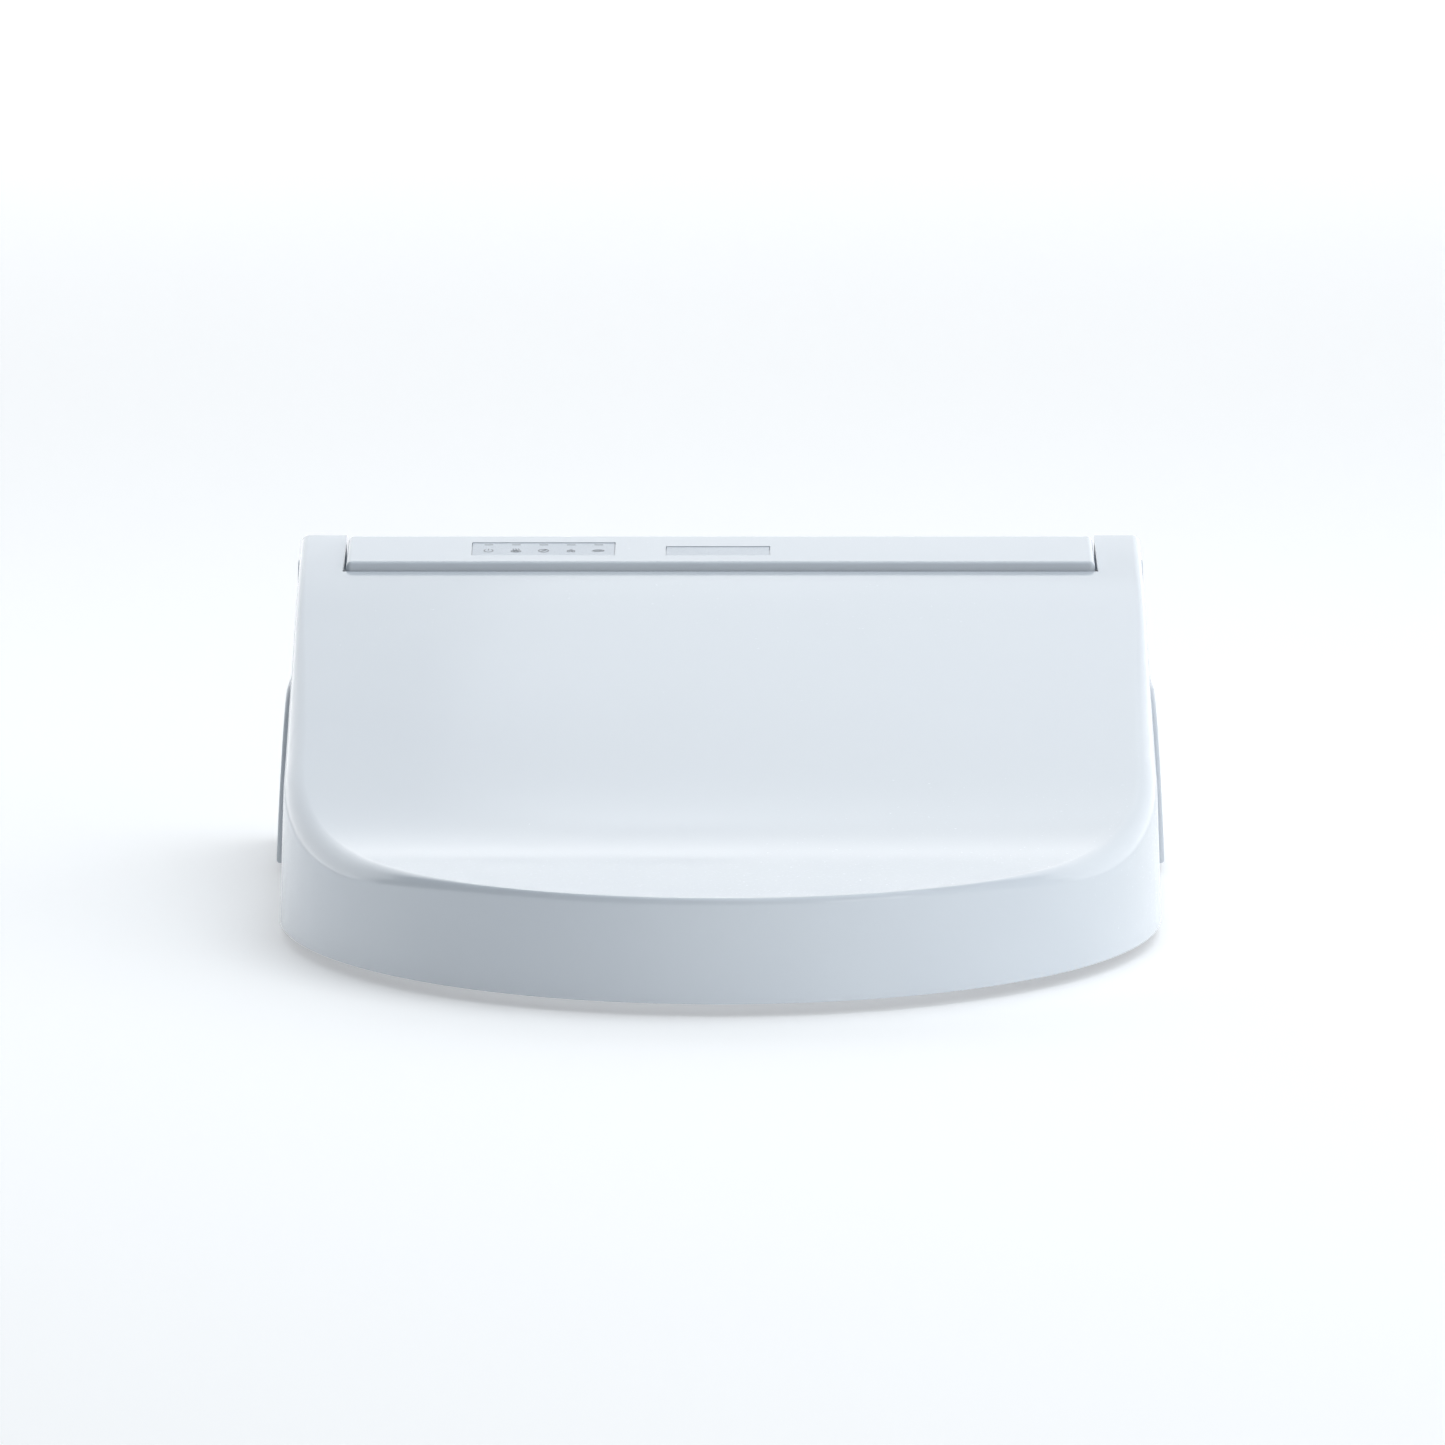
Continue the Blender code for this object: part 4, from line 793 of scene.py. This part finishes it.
def section(turn, inset, low, high, radius, foot):
    """One rib: up the outer side, over the top, and down the side of the hole."""
    def sides(shift):
        outer = oval(SEAT_HALF - shift, SEAT_REACH - shift, SEAT_BACK - MID - shift, 6, turn)
        return outer, oval(HOLE_HALF + shift, HOLE_AHEAD + shift, HOLE_BEHIND + shift, 3, turn)

    outer, inner = sides(inset)
    middle = sum(sides(0), Vector((0, 0))) / 2
    bottom, top = low(middle.y), high(middle.y)
    across = (outer - inner).normalized()
    rows = []
    for edge, way in ((outer, -1), (inner, 1)):
        round_foot = [
            (edge + across * way * foot * (1 - math.sin(a)), bottom + foot * (1 - math.cos(a)))
            for a in [math.radians(d) for d in (0, 30, 60, 90)]
        ]
        round_top = [
            (edge + across * way * radius * (1 - math.cos(a)), top - radius * (1 - math.sin(a)))
            for a in [math.radians(d) for d in range(0, 91, 10)]
        ]
        rows.append(round_foot + round_top)
    return [(p.x, p.y, z) for p, z in rows[0] + rows[1][::-1]]


def ribs(inset, low, high, radius, foot=0.01 * MM, steps=168):
    bm = bmesh.new()
    loops = []
    for i in range(steps):
        turn = 2 * math.pi * (i + 0.5) / steps
        loops.append([bm.verts.new(p) for p in section(turn, inset, low, high, radius, foot)])
    for i in range(steps):
        here, there = loops[i], loops[(i + 1) % steps]
        for k in range(len(here)):
            n = (k + 1) % len(here)
            bm.faces.new((here[k], here[n], there[n], there[k]))
    bmesh.ops.recalc_face_normals(bm, faces=bm.faces)
    return bm


print("seat", round((SEAT_BACK - MID + SEAT_REACH) / MM), "mm long")
print("hole", round((HOLE_AHEAD + HOLE_BEHIND) / MM), "mm long")

# %% [markdown]
# The seat is hollow and open underneath, and two arms reach back from its sides to the hinge line. The arm's
# outline is the side view of the frame's own arm: a root, a taper and a round hub.

# %% The seat's shell and arms
seat = object_from("seat", ribs(0, seat_low, seat_high, 8 * MM, 2 * MM), FINISHES["gloss_white_plastic"])
carve(seat, ribs(SEAT_WALL, lambda y: seat_low(y) - JOG, lambda y: seat_high(y) - SEAT_WALL, 5 * MM))
ARM_IN = cover_high.x + 3.1 * MM
HUB = 8.3 * MM
leave = SEAT_BACK - 17 * MM
root = SEAT_BACK - 72 * MM
lean = math.atan2(HINGE_Z - 46 * MM, HINGE_Y - leave)
hub = [
    (HINGE_Y + HUB * math.cos(a), HINGE_Z + HUB * math.sin(a))
    for a in [lean - math.pi / 2 + math.pi * i / 28 for i in range(29)]
]
arm = [(root, seat_low(root) + 5 * MM), (leave, 47.5 * MM)] + hub
arm += [(leave, 59.5 * MM), (root, seat_high(root) - 4 * MM)]
for side in (-1, 1):
    carve(seat, prism(arm, *sorted((side * ARM_IN, side * ARM_OUT))), "UNION")
    through = sorted((side * (ARM_IN - JOG), side * (ARM_OUT + JOG)))
    carve(seat, prism(circle(HINGE_Y, HINGE_Z, BORE), *through))
soften(seat)
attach(seat, "seat")
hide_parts("seat_top")
print("seat:", len(seat.data.polygons), "faces")

# %% [markdown]
# ## The side covers
#
# A satin cap closes each side of the case. Its front edge runs parallel to the lid's side
# edge, so the slit between them is even. Rings of the same outline, drawn in step by step,
# give the outer face its soft edge, which a bevel on so many short edges would not. The
# outer face leans in as it rises, like the lid's skirt, so that the cap leaves its mould
# and less of it stands out beside the lid. The cap is cut square first and leant last,
# because cutting it with a leaning tool gave a wrong solid.

# %% Side covers with soft edges
def stack(places, outline, steps):
    """A closed form from outlines of the same length, one at each place along X."""
    bm = bmesh.new()
    rings = [
        [bm.verts.new((x, a, b)) for a, b in outline(inset)] for x, inset in zip(places, steps)
    ]
    for ring in (rings[0], rings[-1]):
        bm.faces.new(ring)
    for here, there in zip(rings, rings[1:]):
        for k in range(len(here)):
            n = (k + 1) % len(here)
            bm.faces.new((here[k], here[n], there[n], there[k]))
    bmesh.ops.recalc_face_normals(bm, faces=bm.faces)
    return bm


def cap_outline(inset, low):
    clear = 2 * MM + inset
    line = [
        (knee - (EDGE_RUN - clear) * math.cos(a), EDGE + (rise - clear) * math.sin(a))
        for a in [math.radians(3 * i) for i in range(31)]
    ]
    top = line[-1][1]
    back = REAR - 3 * MM - inset
    return [(line[0][0], low)] + line + [(back, top), (back, low)]


CAP_DRAFT = math.tan(math.radians(2.5))


def lean_in(cap, side):
    """Lean a finished cap's outer side inwards as it rises; its inner side stays put."""
    for v in cap.data.vertices:
        share = (side * v.co.x - side_low.x) / (side_high.x - side_low.x)
        v.co.x -= side * CAP_DRAFT * (v.co.z - side_low.z) * share


SOFT = 1.6 * MM
QUARTER = [math.radians(d) for d in range(0, 91, 15)]
CAP_WALL = 2.2 * MM
button = sum(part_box("release_button"), Vector()) / 2
for side, hand in ((-1, "left"), (1, "right")):
    outer = side_high.x
    places = [side_low.x] + [outer - SOFT * (1 - math.sin(a)) for a in QUARTER]
    insets = [0] + [SOFT * (1 - math.cos(a)) for a in QUARTER]
    form = stack([side * x for x in places], lambda i: cap_outline(i, side_low.z + i), insets)
    cap = object_from("side_cap_" + hand, form, FINISHES["satin_white_plastic"])
    room = sorted((side * (side_low.x - JOG), side * (outer - CAP_WALL)))
    carve(cap, prism(cap_outline(CAP_WALL, UNDER), *room))
    hole = sorted((side * (outer - 4 * MM), side * (outer + JOG)))
    carve(cap, prism(circle(button.y, button.z, 9 * MM), *hole))
    lean_in(cap, side)
    soften(cap)
    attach(cap, "unit")
    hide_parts("side_cover_" + hand)
print("side caps:", len(cap.data.polygons), "faces each")

# %% [markdown]
# ## The case's top
#
# Behind the lid the case shows a sloping strip with a soft crest. Its ends are rounded like
# a worn tile, and a shallow tray is sunk into it for the film and another for a blank plate.
# The same ring method gives it round ends. Bosses and posts hang inside, where the screws
# and the circuit board need them.

# %% Outline of the top cover
STRIP_FRONT = LID_BACK + 2.5 * MM
CREST_Y = REAR - 18 * MM
CREST = cover_high.z
STRIP_LOW = CREST - 7 * MM
STRIP_RISE = math.atan2(CREST - STRIP_LOW, CREST_Y - STRIP_FRONT)


def strip_top(y):
    return STRIP_LOW + (CREST - STRIP_LOW) * (y - STRIP_FRONT) / (CREST_Y - STRIP_FRONT)


def shelf_top(y):
    part = (y - cover_low.y) / (LID_BACK - 1.5 * MM - cover_low.y)
    return CREST - 40 * MM + 22 * MM * part


def cover_outline(inset, low):
    front, nose = cover_low.y + inset, STRIP_FRONT + inset
    step = CREST - 18 * MM - inset
    points = [(front, low), (front, shelf_top(front) - inset), (LID_BACK - 1.5 * MM, step), (nose, step)]
    lip = 1.5 * MM
    lip_z = strip_top(nose + lip) - inset
    points += [(nose + lip * (1 - math.cos(a)), lip_z - lip * (1 - math.sin(a))) for a in QUARTER]
    back = REAR - CREST_Y - inset
    points += [
        (CREST_Y + back * math.sin(a), CREST - inset - 14 * MM * (1 - math.cos(a)))
        for a in [math.radians(5 * i) for i in range(19)]
    ]
    return points + [(REAR - inset, low)]


def tray(x, y, depth, top):
    """A slot square to the strip's slope, between two depths below its surface."""
    off = Vector((-math.sin(STRIP_RISE), math.cos(STRIP_RISE)))
    ends = [(y[0], -depth), (y[1], -depth), (y[1], -top), (y[0], -top)]
    return prism([tuple(Vector((s, strip_top(s))) + off * lift) for s, lift in ends], x[0], x[1])


print("strip slope", round(math.degrees(STRIP_RISE), 1), "degrees")

# %% The top cover
ROUND_END = 2.6 * MM
COVER_WALL = 2.5 * MM
half = cover_high.x
places = [half - ROUND_END * (1 - math.sin(a)) for a in QUARTER]
insets = [ROUND_END * (1 - math.cos(a)) for a in QUARTER]
places = [-x for x in reversed(places)] + places
insets = insets[::-1] + insets
form = stack(places, lambda i: cover_outline(i, cover_low.z), insets)
cover = object_from("case_top", form, FINISHES["gloss_white_plastic"])
inner = half - COVER_WALL
carve(cover, prism(cover_outline(COVER_WALL, cover_low.z - JOG), -inner, inner))
for corner in ("left_front", "left_rear", "right_front", "right_rear"):
    screw_low, screw_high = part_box("case_screw_" + corner)
    at = (screw_low + screw_high) / 2
    reach = shelf_top(at.y) - JOG if at.y < LID_BACK else CREST - 2 * MM
    carve(cover, prism(circle(at.x, at.y, 5 * MM, 32), cover_low.z, reach, "Z"), "UNION")
    carve(cover, prism(circle(at.x, at.y, 2.2 * MM, 32), cover_low.z - JOG, 74 * MM, "Z"))
board_low, board_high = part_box("main_board")
for x in (board_low.x + 5 * MM, board_high.x - 5 * MM):
    for y in (board_low.y + 5 * MM, board_high.y - 5 * MM):
        post = (board_high.z + 0.3 * MM, shelf_top(y) - JOG)
        carve(cover, prism(circle(x, y, 3 * MM, 24), *post, "Z"), "UNION")
for side in (-1, 1):
    through = sorted((side * (inner - JOG), side * (half + JOG)))
    carve(cover, prism(circle(HINGE_Y, HINGE_Z, 4.6 * MM), *through))
print("top cover so far:", len(cover.data.polygons), "faces")

# %% Trays for the film, the plate and the lamps
film_low, film_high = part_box("indicator_panel")
plate_low, plate_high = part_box("name_plate")
TRAY_FRONT = STRIP_FRONT + 10.5 * MM
for low, high, deep in ((film_low, film_high, 20 * MM), (plate_low, plate_high, 14 * MM)):
    wide = (low.x - 0.3 * MM, high.x + 0.3 * MM)
    carve(cover, tray(wide, (TRAY_FRONT, TRAY_FRONT + deep), 1.1 * MM, -JOG))
PITCH = 12.2 * MM
film_x = (film_low.x + film_high.x) / 2
lamp_y = TRAY_FRONT + 17.4 * MM
for i in range(5):
    x = film_x + PITCH * (i - 2)
    slot = (x - 2.3 * MM, x + 2.3 * MM), (lamp_y - 0.9 * MM, lamp_y + 0.9 * MM)
    carve(cover, tray(*slot, 3.5 * MM, 0.7 * MM))
soften(cover)
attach(cover, "unit")
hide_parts("top_cover")
print("top cover:", len(cover.data.polygons), "faces")

# %% [markdown]
# ## The printed marks
#
# The film over the lamps carries five small marks: power, warm seat, wash, water and air
# care. They are drawn as strokes, each a thin ribbon a few hundredths of a millimetre
# thick, like ink, lying on the film. A picture could be laid on instead, but strokes stay
# crisp at any distance and hold no image. Every mark is made on a flat sheet in millimetres
# and then tipped up to the slope of the film.

# %% Strokes on a sloping sheet
film_mid = (film_low + film_high) / 2
INK = 0.05 * MM
LINE = 0.42


def arc(x, y, radius, start, stop, squash_by=1.0, steps=14):
    turns = [math.radians(start + (stop - start) * i / steps) for i in range(steps + 1)]
    return [(x + radius * math.cos(t), y + squash_by * radius * math.sin(t)) for t in turns]


def ribbon(bm, points, width=LINE, closed=False):
    """A stroke of even width and a little thickness along a line of points."""
    points = [Vector(p) for p in points]
    count = len(points)
    rails = []
    for i, p in enumerate(points):
        before = points[i - 1] if i or closed else p
        after = points[(i + 1) % count] if i < count - 1 or closed else p
        along = (after - before).normalized()
        side = Vector((-along.y, along.x)) * width / 2
        rails.append((p + side, p - side))
    rings = [
        [bm.verts.new((q.x, q.y, h)) for q, h in ((a, 0), (b, 0), (b, INK / MM), (a, INK / MM))]
        for a, b in rails
    ]
    last = count if closed else count - 1
    for i in range(last):
        here, there = rings[i], rings[(i + 1) % count]
        for k in range(4):
            n = (k + 1) % 4
            bm.faces.new((here[k], here[n], there[n], there[k]))
    if not closed:
        bm.faces.new(rings[0])
        bm.faces.new(rings[-1])


def dot(bm, x, y, radius, squash_by=1.0):
    rim = arc(x, y, radius, 0, 345, squash_by, 23)
    rings = [[bm.verts.new((a, b, h)) for a, b in rim] for h in (0, INK / MM)]
    for ring in rings:
        bm.faces.new(ring)
    for i in range(len(rim)):
        j = (i + 1) % len(rim)
        bm.faces.new((rings[0][i], rings[0][j], rings[1][j], rings[1][i]))


print("film slope", round(math.degrees(STRIP_RISE), 1), "degrees")

# %% Five marks, as drawings in millimetres
def power_mark(bm):
    ribbon(bm, arc(0, 0, 2.0, 125, 415))
    ribbon(bm, [(0, 0.4), (0, 2.6)])


def seat_mark(bm):
    ribbon(bm, arc(0, -0.9, 2.2, 0, 342, 0.62, 19), closed=True)
    ribbon(bm, arc(0, -0.9, 1.1, 0, 342, 0.6, 19), 0.3, closed=True)
    for x in (-1.2, 0, 1.2):
        ribbon(bm, [(x + 0.28 * math.sin(1.6 * s), 1.1 + 0.5 * s) for s in (0, 1, 2, 3, 4)], 0.3)


def wash_mark(bm):
    ribbon(bm, arc(0, 0, 2.2, 0, 342, 1, 19), closed=True)
    ribbon(bm, [(-1.1, -1.0), (0.7, 0.8)], 0.7)
    dot(bm, 0.9, 1.0, 0.42)


def water_mark(bm):
    side = arc(0, -0.7, 1.7, -60, 240)
    ribbon(bm, side + [(0, 2.5)], closed=True)
    dot(bm, 0.3, -0.9, 0.55)


def air_mark(bm):
    upper = [(2.4 * math.cos(t), 1.3 * math.sin(t)) for t in [math.pi * i / 10 for i in range(11)]]
    lower = [(-2.4 * math.cos(t), -1.3 * math.sin(t)) for t in [math.pi * i / 10 for i in range(1, 10)]]
    ribbon(bm, upper + lower, closed=True)
    ribbon(bm, [(-2.9, -0.9), (-1.4, -0.2), (1.5, 0.3)], 0.3)


def ink_grey(tree):
    patch = spread(noise(tree, 900, 2), 0.4, 0.7)
    return {
        "Base Color": between(patch, tone(0.17, 0.18, 0.20), tone(0.23, 0.24, 0.26)),
        "Roughness": 0.35 + 0.15 * patch,
    }


def lamp_white(tree):
    patch = spread(noise(tree, 700, 2), 0.4, 0.7)
    return {
        "Base Color": between(patch, tone(0.30, 0.33, 0.37), tone(0.38, 0.41, 0.45)),
        "Roughness": 0.18 + 0.1 * patch,
    }


INK_GREY = finish("printed_marks", ink_grey)
LAMP = finish("lamp_windows", lamp_white)
MARKS = {"power": power_mark, "seat": seat_mark, "wash": wash_mark, "water": water_mark, "air": air_mark}
print("marks:", ", ".join(MARKS))

# %% Lay the marks on the film
film_top = film_mid + Vector((0, -math.sin(STRIP_RISE), math.cos(STRIP_RISE))) * 0.275 * MM


def on_film(bm, x, up):
    """Tip a drawing up to the film's slope, at a place across it and up it."""
    lift = Matrix.Rotation(STRIP_RISE, 4, "X")
    size = Matrix.Diagonal((MM, MM, MM, 1))
    along = Vector((0, math.cos(STRIP_RISE), math.sin(STRIP_RISE)))
    off = Vector((0, -math.sin(STRIP_RISE), math.cos(STRIP_RISE))) * 0.03 * MM
    at = film_top + along * up + off
    at.x = x
    bmesh.ops.recalc_face_normals(bm, faces=bm.faces)
    bmesh.ops.transform(bm, matrix=Matrix.Translation(at) @ lift @ size, verts=bm.verts)
    return bm


def lay(name, bm, material):
    made = object_from(name, bm, material)
    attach(made, "unit")
    return made


for i, (word, draw) in enumerate(MARKS.items()):
    x = film_mid.x + PITCH * (i - 2)
    drawing = bmesh.new()
    draw(drawing)
    lay("mark_" + word, on_film(drawing, x, -2.2 * MM), INK_GREY)
    window = bmesh.new()
    ribbon(window, [(-1.9, 0), (1.9, 0)], 0.9)
    lay("lamp_" + word, on_film(window, x, 7.0 * MM), LAMP)
print("film pieces:", 2 * len(MARKS))
